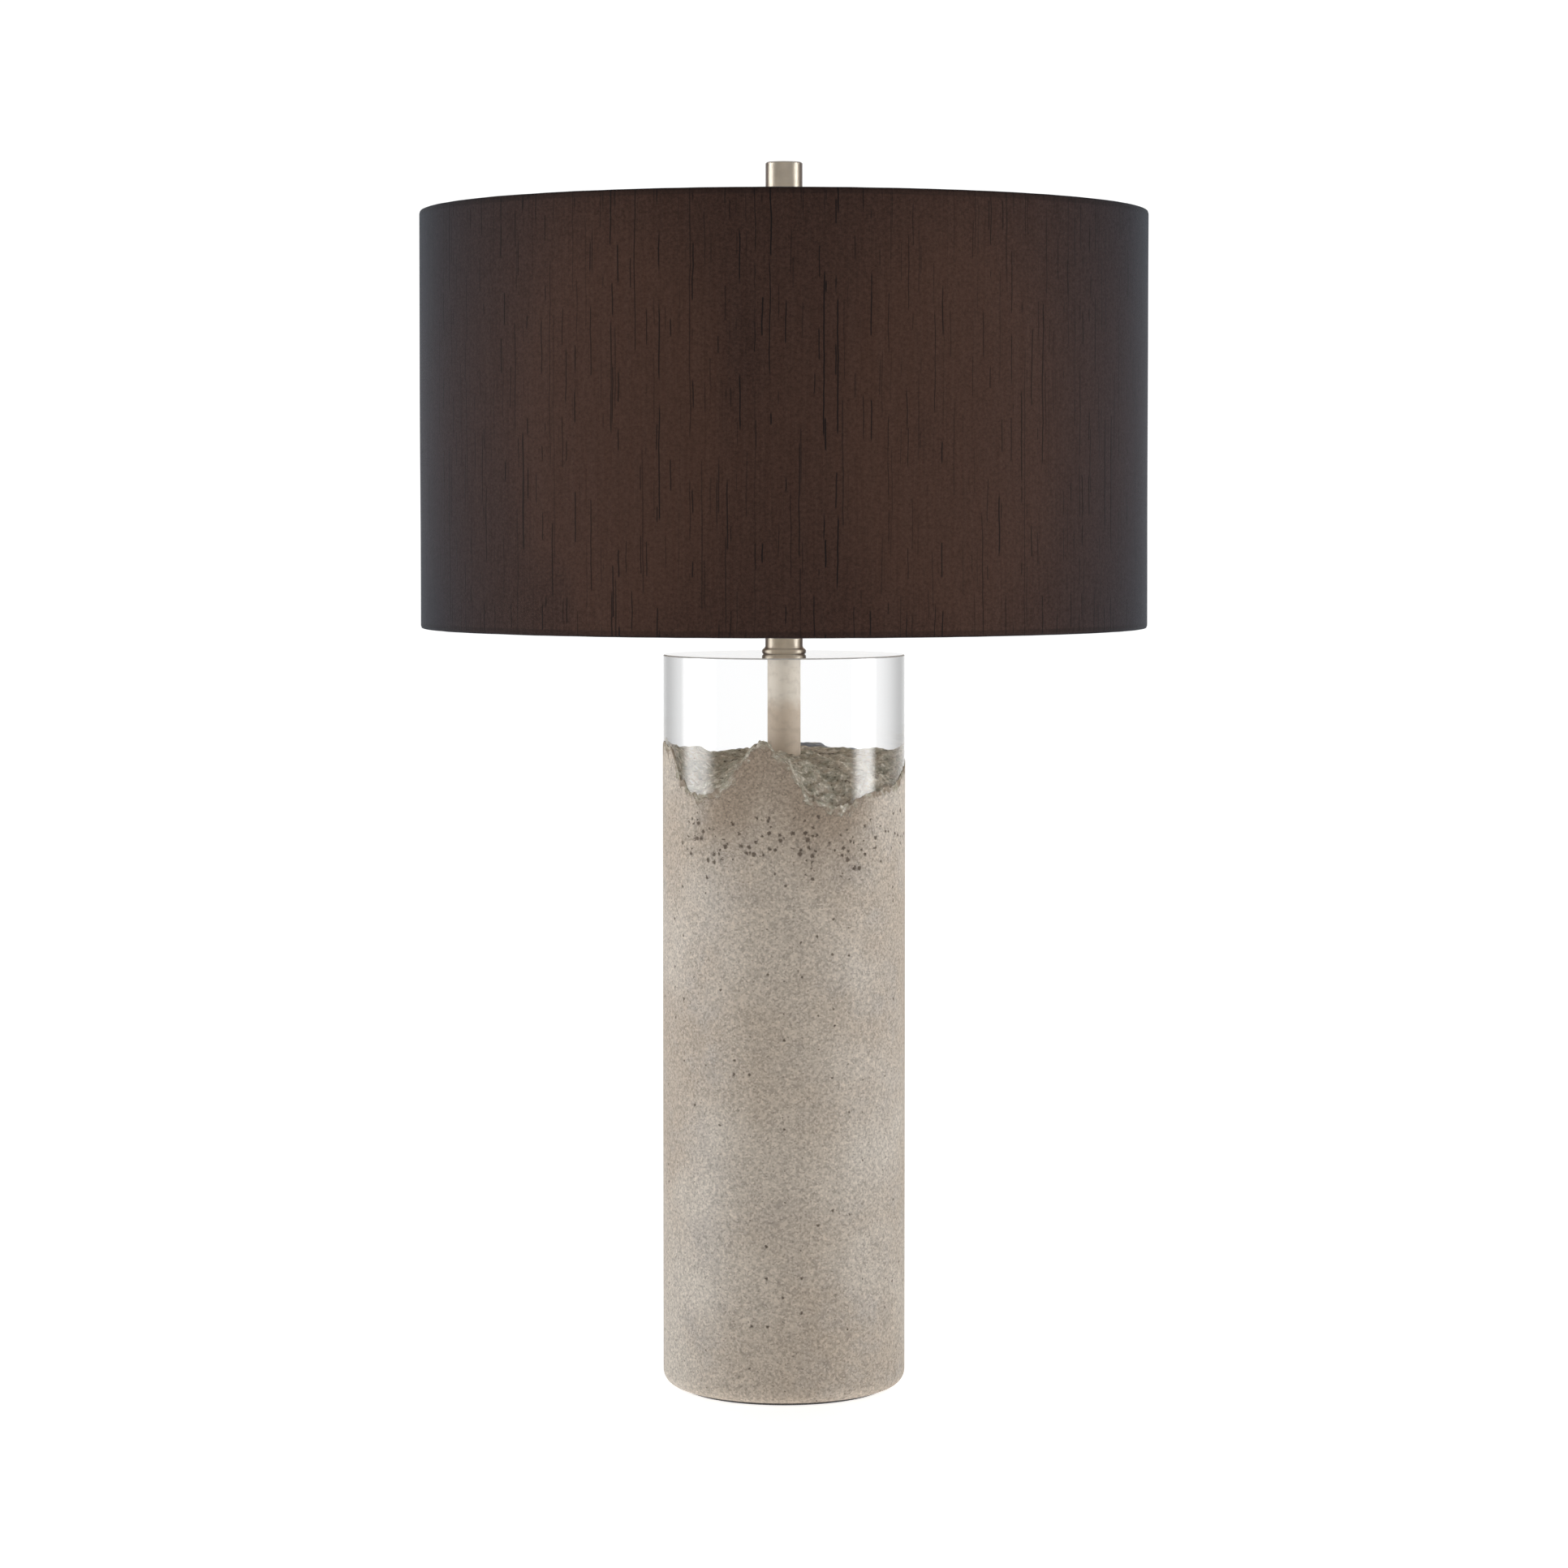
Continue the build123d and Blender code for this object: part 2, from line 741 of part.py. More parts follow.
def finial():
    """Turned finial, tapped to screw down on the stud."""
    top = finial_start + finial_height
    step = finial_start + finial_stem_height
    body = turned(
        (0, finial_start),
        (finial_stem_radius + 1.5, finial_start),
        (finial_stem_radius + 1.5, finial_start + 1.5),
        (finial_stem_radius, finial_start + 2.5),
        (finial_stem_radius, step - 1),
        (finial_radius - finial_edge, step),
        (finial_radius, step + finial_edge),
        (finial_radius, top - finial_edge),
        (finial_radius - finial_edge, top),
        (0, top),
    )
    tapped = seat_height + stud_height + 3
    return body - rod(stud_radius + 0.05, finial_start - 1, tapped)


def pieces():
    """Every piece by its name."""
    neck_top = neck_start + neck_height
    washer_bore = rod_radius + rod_fit
    return {
        "felt_pad": rod(base_radius - pad_inset, 0, pad_thickness),
        "concrete_body": concrete_body(),
        "clear_top": clear_top(),
        "base_plate": tube(
            base_radius - recess_wall - plate_clearance, washer_bore, plate_underside, recess_roof
        ),
        "flat_washer": tube(flat_washer_radius, washer_bore, washer_underside, plate_underside),
        "lock_washer": lock_washer(),
        "rod_nut": hex_nut(rod_nut_height, lock_underside - rod_nut_height),
        "threaded_rod": tube(rod_radius, rod_bore_radius, rod_end_height, rod_end),
        "rod_sleeve": tube(sleeve_radius, rod_radius + rod_fit, bore_seat(), base_height),
        "cord_bushing": cord_bushing(),
        "collar_ring": collar_ring(),
        "neck_tube": tube(neck_radius, neck_radius - neck_wall, neck_start, neck_top),
        "neck_cap": neck_cap(),
        "harp_saddle": harp_saddle(),
        "saddle_nut": hex_nut(saddle_nut_height, saddle_top),
        "harp_loop": harp_loop(),
        "harp_stud": harp_stud(),
        "harp_ferrule_left": harp_ferrule(-1),
        "harp_ferrule_right": harp_ferrule(1),
        "socket_cap": socket_cap(),
        "socket_set_screw": socket_set_screw(),
        "socket_shell": socket_shell(),
        "socket_insulator": socket_insulator(),
        "socket_body": socket_body(),
        "live_terminal_screw": terminal_screw(1),
        "neutral_terminal_screw": terminal_screw(-1),
        "lampholder_shell": lampholder_shell(),
        "centre_contact": centre_contact(),
        "switch_shaft": switch_shaft(),
        "switch_knob": switch_knob(),
        "bulb_globe": bulb_globe(),
        "bulb_screw_cap": bulb_screw_cap(),
        "bulb_insulator": bulb_insulator(),
        "bulb_tip": bulb_tip(),
        "bulb_stem": bulb_stem(),
        "bulb_filament": bulb_filament(),
        "spider_washer": spider_washer(),
        "spider_arms": spider_arms(),
        "shade_top_ring": shade_ring(shade_top - ring_inset),
        "shade_bottom_ring": shade_ring(shade_bottom + ring_inset),
        "shade_liner": shade_liner(),
        "shade_fabric": shade_fabric(),
        "finial": finial(),
    }


def main():
    os.makedirs("parts", exist_ok=True)
    for name, shape in pieces().items():
        export_step(shape, f"parts/{name}.step")


main()
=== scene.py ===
from math import cos, hypot, pi, radians, sin

import bpy
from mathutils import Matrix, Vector, noise
from mathutils.bvhtree import BVHTree


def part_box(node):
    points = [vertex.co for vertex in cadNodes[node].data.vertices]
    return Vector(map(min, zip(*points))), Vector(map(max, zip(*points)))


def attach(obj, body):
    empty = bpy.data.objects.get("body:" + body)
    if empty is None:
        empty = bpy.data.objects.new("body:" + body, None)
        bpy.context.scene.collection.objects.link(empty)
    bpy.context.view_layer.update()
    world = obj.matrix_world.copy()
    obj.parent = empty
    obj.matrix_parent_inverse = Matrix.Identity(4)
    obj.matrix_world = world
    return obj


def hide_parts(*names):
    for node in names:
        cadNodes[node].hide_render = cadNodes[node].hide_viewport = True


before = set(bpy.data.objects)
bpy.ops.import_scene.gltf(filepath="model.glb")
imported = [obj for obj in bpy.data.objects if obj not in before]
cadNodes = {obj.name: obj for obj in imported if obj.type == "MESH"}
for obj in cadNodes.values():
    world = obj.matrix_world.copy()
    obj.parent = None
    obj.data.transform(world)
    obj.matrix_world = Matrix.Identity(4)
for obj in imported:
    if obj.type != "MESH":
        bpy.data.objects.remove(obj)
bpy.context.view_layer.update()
print("lamp: frame loaded with", len(cadNodes), "parts")


def buildPiece(name, points, faces, materials, body, slots=None):
    mesh = bpy.data.meshes.new(name)
    mesh.from_pydata(points, [], faces)
    for material in materials:
        mesh.materials.append(material)
    if slots:
        mesh.polygons.foreach_set("material_index", slots)
    mesh.polygons.foreach_set("use_smooth", [True] * len(faces))
    mesh.set_sharp_from_angle(angle=radians(38))
    mesh.update()
    piece = bpy.data.objects.new(name, mesh)
    bpy.context.scene.collection.objects.link(piece)
    if body:
        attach(piece, body)
    return piece


def turnedGrid(rows, steps, place, closed=False, flip=False):
    # rows of points round the axis; place(row, step) gives one point
    points = [place(row, step) for row in range(rows) for step in range(steps)]
    faces = []
    for row in range(rows if closed else rows - 1):
        low, high = row * steps, (row + 1) % rows * steps
        for step in range(steps):
            after = (step + 1) % steps
            quad = (low + step, low + after, high + after, high + step)
            faces.append(quad[::-1] if flip else quad)
    return points, faces


def aroundAxis(radius, step, steps, height):
    angle = 2 * pi * step / steps  # starts at the back, where the seams are
    return (radius * sin(angle), radius * cos(angle), height)


def addNode(tree, kind, **settings):
    node = tree.nodes.new("ShaderNode" + kind)
    for name, value in settings.items():
        setattr(node, name, value)
    return node


def feed(tree, socket, value):
    if isinstance(value, bpy.types.NodeSocket):
        tree.links.new(value, socket)
    else:
        socket.default_value = value


def maths(tree, operation, first, second=0.0, clamp=False):
    node = addNode(tree, "Math", operation=operation, use_clamp=clamp)
    feed(tree, node.inputs[0], first)
    feed(tree, node.inputs[1], second)
    return node.outputs[0]


def axesOf(tree, vector):
    node = addNode(tree, "SeparateXYZ")
    feed(tree, node.inputs[0], vector)
    return node


def ramp(tree, value, start, end, low=0.0, high=1.0):
    node = addNode(tree, "MapRange", interpolation_type="SMOOTHSTEP")
    given = {"Value": value, "From Min": start, "From Max": end, "To Min": low, "To Max": high}
    for name in given:
        feed(tree, node.inputs[name], given[name])
    return node.outputs["Result"]


def mixColour(tree, factor, first, second, mode="MIX"):
    node = addNode(tree, "Mix", data_type="RGBA", blend_type=mode)
    feed(tree, node.inputs[0], factor)
    feed(tree, node.inputs[6], first)
    feed(tree, node.inputs[7], second)
    return node.outputs[2]


def noiseValue(tree, vector, scale, detail=2.0, rough=0.5, flat=False):
    node = addNode(tree, "TexNoise", noise_dimensions="2D" if flat else "3D")
    feed(tree, node.inputs["Vector"], vector)
    feed(tree, node.inputs["Scale"], scale)
    node.inputs["Detail"].default_value = detail
    node.inputs["Roughness"].default_value = rough
    return node.outputs["Fac"]


def stretched(tree, vector, x, y, z):
    node = addNode(tree, "VectorMath", operation="MULTIPLY")
    feed(tree, node.inputs[0], vector)
    node.inputs[1].default_value = (x, y, z)
    return node.outputs[0]


def ownPosition(tree):
    return addNode(tree, "TexCoord").outputs["Object"]


def bumpFrom(tree, height, strength, distance=0.001, below=None):
    node = addNode(tree, "Bump")
    node.inputs["Strength"].default_value = strength
    node.inputs["Distance"].default_value = distance
    feed(tree, node.inputs["Height"], height)
    if below:
        feed(tree, node.inputs["Normal"], below)
    return node.outputs["Normal"]


def newMaterial(name, **sockets):
    material = bpy.data.materials.new(name)
    material.use_nodes = True
    tree = material.node_tree
    shader = tree.nodes["Principled BSDF"]
    for socket, value in sockets.items():
        shader.inputs[socket.replace("_", " ")].default_value = value
    return material, tree, shader


def rgb(red, green, blue):
    return (red, green, blue, 1.0)


def newGroup(name, inputs, outputs):
    group = bpy.data.node_groups.new(name, "ShaderNodeTree")
    for direction, sockets in (("INPUT", inputs), ("OUTPUT", outputs)):
        for label, (kind, value) in sockets.items():
            socket = group.interface.new_socket(label, in_out=direction, socket_type="NodeSocket" + kind)
            if value is not None:
                socket.default_value = value
    start = group.nodes.new("NodeGroupInput")
    end = group.nodes.new("NodeGroupOutput")
    return group, start.outputs, end.inputs


def useGroup(tree, group, **inputs):
    node = addNode(tree, "Group", node_tree=group)
    for name, value in inputs.items():
        feed(tree, node.inputs[name.replace("_", " ")], value)
    return node.outputs


def makeUnrolled():
    # position on the unrolled wall: length round the axis, height, distance from the axis
    group, given, out = newGroup(
        "Unrolled Wall",
        {"Position": ("Vector", None), "Radius": ("Float", 0.1)},
        {"Vector": ("Vector", None), "From Axis": ("Float", None)},
    )
    apart = axesOf(group, given["Position"])
    back = maths(group, "MULTIPLY", apart.outputs[1], -1.0)
    angle = maths(group, "ARCTAN2", apart.outputs[0], back)
    length = maths(group, "MULTIPLY", angle, given["Radius"])
    squares = maths(group, "MULTIPLY", apart.outputs[0], apart.outputs[0])
    squares = maths(group, "ADD", squares, maths(group, "MULTIPLY", back, back))
    fromAxis = maths(group, "SQRT", squares)
    joined = addNode(group, "CombineXYZ")
    feed(group, joined.inputs[0], length)
    feed(group, joined.inputs[1], apart.outputs[2])
    feed(group, joined.inputs[2], fromAxis)
    feed(group, out["Vector"], joined.outputs[0])
    feed(group, out["From Axis"], fromAxis)
    return group


def makePinholes():
    # air bubbles left open in a cast surface: 1 inside a hole
    group, given, out = newGroup(
        "Pinholes",
        {
            "Vector": ("Vector", None), "Spacing": ("Float", 0.006),
            "Size": ("Float", 0.0007), "Share": ("Float", 0.3),
        },
        {"Mask": ("Float", None)},
    )
    wobble = addNode(group, "TexNoise", noise_dimensions="2D")
    feed(group, wobble.inputs["Vector"], given["Vector"])
    wobble.inputs["Scale"].default_value = 900
    shift = addNode(group, "VectorMath", operation="MULTIPLY_ADD")
    feed(group, shift.inputs[0], wobble.outputs["Color"])
    shift.inputs[1].default_value = (0.0019, 0.0019, 0)
    feed(group, shift.inputs[2], given["Vector"])
    cells = addNode(group, "TexVoronoi", voronoi_dimensions="2D")
    feed(group, cells.inputs["Vector"], shift.outputs[0])
    feed(group, cells.inputs["Scale"], maths(group, "DIVIDE", 1.0, given["Spacing"]))
    picks = addNode(group, "SeparateColor")
    feed(group, picks.inputs[0], cells.outputs["Color"])
    away = maths(group, "MULTIPLY", cells.outputs["Distance"], given["Spacing"])
    reach = maths(group, "MULTIPLY", given["Size"], ramp(group, picks.outputs[1], 0.0, 1.0, 0.35, 1.0))
    inside = ramp(group, maths(group, "DIVIDE", away, reach), 1.0, 0.4)
    chosen = maths(group, "LESS_THAN", picks.outputs[0], given["Share"])
    feed(group, out["Mask"], maths(group, "MULTIPLY", inside, chosen))
    return group


def makeSand():
    # fine aggregate in concrete: light and dark grains, and the height they stand at
    group, given, out = newGroup(
        "Sand Grains",
        {"Position": ("Vector", None), "Size": ("Float", 0.0008), "Amount": ("Float", 0.3)},
        {"Shade": ("Float", None), "Height": ("Float", None)},
    )
    scale = maths(group, "DIVIDE", 1.0, given["Size"])
    cells = addNode(group, "TexVoronoi")
    feed(group, cells.inputs["Vector"], given["Position"])
    feed(group, cells.inputs["Scale"], scale)
    picks = addNode(group, "SeparateColor")
    feed(group, picks.inputs[0], cells.outputs["Color"])
    soft = noiseValue(group, given["Position"], maths(group, "MULTIPLY", scale, 0.45), 4.0, 0.65)
    grains = maths(group, "MULTIPLY", picks.outputs[0], 0.45)
    grains = maths(group, "ADD", grains, maths(group, "MULTIPLY", soft, 0.9))
    centred = maths(group, "SUBTRACT", grains, 0.67)
    shade = maths(group, "ADD", maths(group, "MULTIPLY", centred, given["Amount"]), 1.0)
    feed(group, out["Shade"], shade)
    bumps = maths(group, "MULTIPLY", cells.outputs["Distance"], 0.35)
    feed(group, out["Height"], maths(group, "ADD", soft, bumps))
    return group


def makeTurnedGrain():
    # lines left round the axis by a belt or a lathe tool, and faint clouding in the plate
    group, given, out = newGroup(
        "Turned Grain",
        {
            "Position": ("Vector", None), "Lines": ("Float", 2600.0),
            "Low": ("Float", 0.2), "High": ("Float", 0.36),
        },
        {"Roughness": ("Float", None), "Height": ("Float", None), "Cloud": ("Float", None)},
    )
    wall = useGroup(group, unrolledWall, Position=given["Position"], Radius=0.012)
    across = addNode(group, "VectorMath", operation="MULTIPLY")
    feed(group, across.inputs[0], wall["Vector"])
    across.inputs[1].default_value = (0.02, 1.0, 1.0)
    lines = noiseValue(group, across.outputs[0], given["Lines"], 3.0, 0.7)
    cloud = noiseValue(group, given["Position"], 90.0, 3.0, 0.6)
    blended = maths(group, "MULTIPLY", lines, 0.7)
    blended = maths(group, "ADD", blended, maths(group, "MULTIPLY", cloud, 0.3))
    feed(group, out["Roughness"], ramp(group, blended, 0.3, 0.7, given["Low"], given["High"]))
    feed(group, out["Height"], lines)
    feed(group, out["Cloud"], cloud)
    return group


def makeHandling():
    # smudges and fine dust on smooth surfaces
    group, given, out = newGroup(
        "Handling Marks",
        {
            "Position": ("Vector", None), "Scale": ("Float", 60.0),
            "Low": ("Float", 0.3), "High": ("Float", 0.45),
        },
        {"Roughness": ("Float", None), "Mask": ("Float", None), "Height": ("Float", None)},
    )
    broad = noiseValue(group, given["Position"], given["Scale"], 4.0, 0.6)
    fine = noiseValue(group, given["Position"], maths(group, "MULTIPLY", given["Scale"], 22.0), 2.0, 0.5)
    feed(group, out["Roughness"], ramp(group, broad, 0.3, 0.72, given["Low"], given["High"]))
    feed(group, out["Mask"], ramp(group, broad, 0.42, 0.75))
    feed(group, out["Height"], fine)
    return group


def makeSlubs():
    # thick threads in a weave: straight lines up the cloth that start and stop
    group, given, out = newGroup(
        "Slub Threads",
        {
            "Vector": ("Vector", None), "Pitch": ("Float", 0.006), "Width": ("Float", 0.0008),
            "Length": ("Float", 0.06), "Share": ("Float", 0.3), "Offset": ("Float", 0.0),
        },
        {"Mask": ("Float", None)},
    )
    apart = axesOf(group, given["Vector"])
    sway = noiseValue(group, stretched(group, given["Vector"], 0.5, 1.0, 0.0), 30.0, 2.0, 0.6, flat=True)
    across = maths(group, "ADD", apart.outputs[0], maths(group, "MULTIPLY", sway, 0.0022))
    across = maths(group, "ADD", maths(group, "DIVIDE", across, given["Pitch"]), given["Offset"])
    column = maths(group, "FLOOR", across)
    chance = addNode(group, "TexWhiteNoise", noise_dimensions="1D")
    feed(group, chance.inputs["W"], maths(group, "ADD", column, given["Offset"]))
    picks = addNode(group, "SeparateColor")
    feed(group, picks.inputs[0], chance.outputs["Color"])
    middle = ramp(group, picks.outputs[0], 0.0, 1.0, 0.12, 0.88)
    away = maths(group, "ABSOLUTE", maths(group, "SUBTRACT", maths(group, "FRACT", across), middle))
    away = maths(group, "MULTIPLY", away, given["Pitch"])
    width = maths(group, "MULTIPLY", given["Width"], ramp(group, picks.outputs[1], 0.0, 1.0, 0.45, 1.0))
    line = ramp(group, maths(group, "DIVIDE", away, width), 0.6, 0.25)
    along = addNode(group, "CombineXYZ")
    feed(group, along.inputs[0], maths(group, "MULTIPLY", column, 7.31))
    feed(group, along.inputs[1], maths(group, "DIVIDE", apart.outputs[1], given["Length"]))
    run = noiseValue(group, along.outputs[0], 1.0, 1.0, 0.4, flat=True)
    limit = maths(group, "SUBTRACT", 0.72, maths(group, "MULTIPLY", given["Share"], 0.3))
    shown = ramp(group, maths(group, "SUBTRACT", run, limit), 0.0, 0.035)
    shown = maths(group, "MULTIPLY", shown, ramp(group, picks.outputs[2], 0.0, 1.0, 0.35, 1.0))
    feed(group, out["Mask"], maths(group, "MULTIPLY", line, shown))
    return group


def makeRubble():
    # a fresh break in concrete: crushed stone, pale edges, and painted shade in the gaps between stones
    group, given, out = newGroup(
        "Broken Rubble",
        {
            "Position": ("Vector", None), "Body": ("Color", None), "Pale": ("Color", None),
            "Green": ("Color", None), "GapShade": ("Color", None),
        },
        {"Colour": ("Color", None), "Height": ("Float", None), "Patches": ("Float", None)},
    )
    patches = noiseValue(group, given["Position"], 120.0, 5.0, 0.65)
    stones = noiseValue(group, given["Position"], 290.0, 5.0, 0.72)
    colour = mixColour(group, ramp(group, patches, 0.38, 0.62), given["Green"], given["Body"])
    colour = mixColour(group, ramp(group, stones, 0.50, 0.64), colour, given["Pale"])
    # painted shade: the low parts between stones are darkened
    colour = mixColour(group, ramp(group, stones, 0.43, 0.33), colour, given["GapShade"])
    grains = useGroup(group, sandGrains, Position=given["Position"], Size=0.0014, Amount=0.8)
    feed(group, out["Colour"], mixColour(group, 1.0, colour, grains["Shade"], "MULTIPLY"))
    feed(group, out["Height"], maths(group, "ADD", stones, maths(group, "MULTIPLY", grains["Height"], 0.4)))
    feed(group, out["Patches"], patches)
    return group


unrolledWall = makeUnrolled()
pinholes = makePinholes()
sandGrains = makeSand()
turnedGrain = makeTurnedGrain()
handlingMarks = makeHandling()
slubThreads = makeSlubs()
brokenRubble = makeRubble()
print("lamp: shared shader groups ready")


column = {
    "seed": 5,  # vector noise is drawn from the clock without one
    "steps": 720,
    "rings": 92,  # across the break
    "radius": 0.0765,
    "clearRadius": 0.0761,
    "boreRadius": 0.00695,
    "overlap": 0.0013,  # how far the clear casting goes below the break
    "softness": 0.0022,
    "lumps": (0.0034, 72),  # height and frequency of each layer of roughness
    "knobs": (0.0021, 170),
    "creases": (0.0026, 115),
    "grit": (0.0008, 480),
    "rimChips": 0.0022,
    "bottomRadius": 0.009,
    "footHeight": 0.002,
    "recessRadius": 0.061,
    "recessRoof": 0.027,
    "topEdge": 0.0008,
    "facetShare": 0.992,  # heights are read within this share of the radius
    "facetInner": 0.0078,  # and outside this radius
    "warp": (0.0042, 95),  # how far the facets' edges wander, and how often
    "rimStart": 0.068,  # where the roughness starts to fade towards the rim
    "rimWidth": 0.0085,
    "closeRows": (0.0006, 0.0014, 0.0024, 0.0038, 0.0056, 0.008),  # rows close under the rim
    "wallRows": 44,
    "bendRows": 10,
    "boreFloor": 0.38,
    "topRing": 0.03,
    "aboveBreak": 0.0006,
}


def breakHeights(settings):
    # height of the break on every ring and step, from the plain facets in the frame
    source = cadNodes["concrete_body"].data
    tree = BVHTree.FromPolygons([v.co for v in source.vertices], [p.vertices for p in source.polygons])
    noise.seed_set(settings["seed"])
    down = Vector((0, 0, -1))
    soft = settings["softness"]
    outer = settings["radius"]
    share, inmost = settings["facetShare"], settings["facetInner"]
    wander, often = settings["warp"]

    def facet(x, y):
        reach = hypot(x, y)
        if reach > outer * share:
            x, y = x * outer * share / reach, y * outer * share / reach
        if reach < inmost:
            x, y = x * inmost / reach, y * inmost / reach
        return tree.ray_cast(Vector((x, y, 0.7)), down)[0].z

    rings = settings["rings"]
    bore = settings["boreRadius"]
    radii = [bore + (outer - bore) * ring / (rings - 1) for ring in range(rings)]
    around = ((0, 0), (soft, 0), (-soft, 0), (0, soft), (0, -soft))
    heights = []
    for radius in radii:
        nearRim = max(0.0, min(1.0, (radius - settings["rimStart"]) / settings["rimWidth"]))
        inner = 1 - nearRim
        row = []
        for step in range(settings["steps"]):
            x, y, _ = aroundAxis(radius, step, settings["steps"], 0)
            here = Vector((x, y, 0.3))
            warp = noise.noise_vector(here * often) * wander * inner
            px, py = x + warp.x, y + warp.y
            level = sum(facet(px + dx, py + dy) for dx, dy in around) / 5
            place = Vector((x, y, level))
            height, rate = settings["lumps"]
            level += height * noise.noise(place * rate) * (0.25 + 0.75 * inner)
            height, rate = settings["creases"]
            ridge = 0.35 - abs(noise.noise(place * rate + Vector((3, 7, 1))))
            level += height * ridge * (0.3 + 0.7 * inner)
            height, rate = settings["knobs"]
            level += height * noise.noise(place * rate) * (0.45 + 0.55 * inner)
            height, rate = settings["grit"]
            level += height * noise.noise(place * rate)
            chip = noise.noise(Vector((x * 150, y * 150, 9.0)))
            chip += 0.6 * noise.noise(Vector((x * 420, y * 420, 4.0)))
            level -= settings["rimChips"] * max(0.0, chip) * nearRim * 2
            row.append(level)
        heights.append(row)
    return radii, heights


def makeConcrete(settings, radii, heights, materials):
    steps = settings["steps"]
    outer, foot, bend = settings["radius"], settings["footHeight"], settings["bottomRadius"]
    upper, plain, bends = settings["closeRows"], settings["wallRows"], settings["bendRows"]
    floor = settings["boreFloor"]
    rows = [("pole", 0.0, floor), ("fixed", settings["boreRadius"], floor)]
    rows += [("break", ring, 0) for ring in range(settings["rings"])]
    rows += [("rim", drop, 0) for drop in upper]
    rows += [("wall", (row + 1) / plain, 0) for row in range(plain)]
    for part in range(1, bends + 1):
        angle = pi / 2 * part / bends
        rows.append(("fixed", outer - bend + bend * cos(angle), foot + bend - bend * sin(angle)))
    recess, roof = settings["recessRadius"], settings["recessRoof"]
    rows += [("fixed", recess + 0.001, foot), ("fixed", recess, foot + 0.001)]
    rows += [("fixed", recess, roof), ("pole", 0.0, roof)]

    rimDepth = []

    def place(row, step):
        kind, a, b = rows[row]
        rim = heights[-1][step]
        depth = 1.0
        if kind == "break":
            radius, height = radii[a], heights[a][step]
            depth = outer - radius
        elif kind == "rim":
            radius, height, depth = outer, rim - a, a
        elif kind == "wall":
            top, low = rim - upper[-1], foot + bend
            radius, height = outer, top + (low - top) * a
            depth = rim - height
        else:
            radius, height = max(a, 1e-5), b
        rimDepth.append(depth)
        return aroundAxis(radius, step, steps, height)

    points, faces = turnedGrid(len(rows), steps, place)
    firstBreak = 2
    lastBreak = firstBreak + settings["rings"] - 1
    slots = [1 if firstBreak <= index // steps < lastBreak else 0 for index in range(len(faces))]
    piece = buildPiece("concreteColumn", points, faces, materials, None, slots)
    depths = piece.data.attributes.new("rimDepth", "FLOAT", "POINT")
    depths.data.foreach_set("value", rimDepth)
    return piece


outlet = {
    "steps": 48,
    "cuts": ((0.0055, 0.052), (0.009, 0.0754)),  # radius, and where the cut starts
    "end": 0.095,
}


def boreOutlet(piece, settings):
    # the cord's hole and the flat face round it, at the back
    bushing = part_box("cord_bushing")
    centre = (bushing[0] + bushing[1]) / 2
    steps = settings["steps"]
    for radius, start in settings["cuts"]:
        points, faces = [], []
        turns = [2 * pi * s / steps for s in range(steps)]
        for y in (start, settings["end"]):
            points += [(radius * cos(turn), y, centre.z + radius * sin(turn)) for turn in turns]
        faces.append(tuple(range(steps)))
        faces.append(tuple(range(2 * steps - 1, steps - 1, -1)))
        for s in range(steps):
            t = (s + 1) % steps
            faces.append((t, s, steps + s, steps + t))
        cutter = bpy.data.objects.new("cutter", bpy.data.meshes.new("cutter"))
        cutter.data.from_pydata(points, [], faces)
        bpy.context.scene.collection.objects.link(cutter)
        cut = piece.modifiers.new("hole", "BOOLEAN")
        cut.object, cut.operation, cut.solver = cutter, "DIFFERENCE", "EXACT"
        solid = bpy.data.meshes.new_from_object(piece.evaluated_get(bpy.context.evaluated_depsgraph_get()))
        piece.modifiers.clear()
        piece.data = solid
        bpy.data.objects.remove(cutter)


def makeClearCasting(settings, radii, heights, materials):
    steps = settings["steps"]
    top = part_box("clear_top")[1].z
    edge, outer, bore = settings["topEdge"], settings["clearRadius"], settings["boreRadius"]
    rows = [("fixed", bore, top), ("fixed", settings["topRing"], top), ("fixed", outer - edge, top)]
    rows += [("fixed", outer, top - edge), ("above", settings["aboveBreak"], 0)]
    rows += [("break", ring, 0) for ring in range(settings["rings"] - 1, -1, -1)]

    def place(row, step):
        kind, a, b = rows[row]
        if kind == "fixed":
            return aroundAxis(a, step, steps, b)
        if kind == "above":  # keeps the wall straight down to the break
            return aroundAxis(outer, step, steps, heights[-1][step] - settings["overlap"] + a)
        return aroundAxis(min(radii[a], outer), step, steps, heights[a][step] - settings["overlap"])

    points, faces = turnedGrid(len(rows), steps, place, closed=True)
    slots = [1 if index // steps == 2 else 0 for index in range(len(faces))]
    return buildPiece("clearCasting", points, faces, materials, "lamp", slots)


brokenLook = {
    "Body": rgb(0.520, 0.460, 0.380),
    "Pale": rgb(0.800, 0.760, 0.680),
    "Green": rgb(0.400, 0.385, 0.310),
    # painted shade for the gaps between stones
    "GapShade": rgb(0.115, 0.090, 0.066),
}

concreteLook = {
    "pale": rgb(0.565, 0.513, 0.450),
    "tan": rgb(0.475, 0.408, 0.338),
    "grey": rgb(0.470, 0.430, 0.388),
    "frontUnderBreak": rgb(0.270, 0.212, 0.160),
    "warm": rgb(0.395, 0.322, 0.248),
    # painted shade inside the bubbles' holes
    "hole": rgb(0.080, 0.056, 0.040),
    "rim": rgb(0.205, 0.150, 0.108),
    "bandHeight": 0.350,  # where the bubbles gathered
    "bandWidth": 0.0145,
    "bandSides": 0.3,  # how much of the band is left away from the front
}


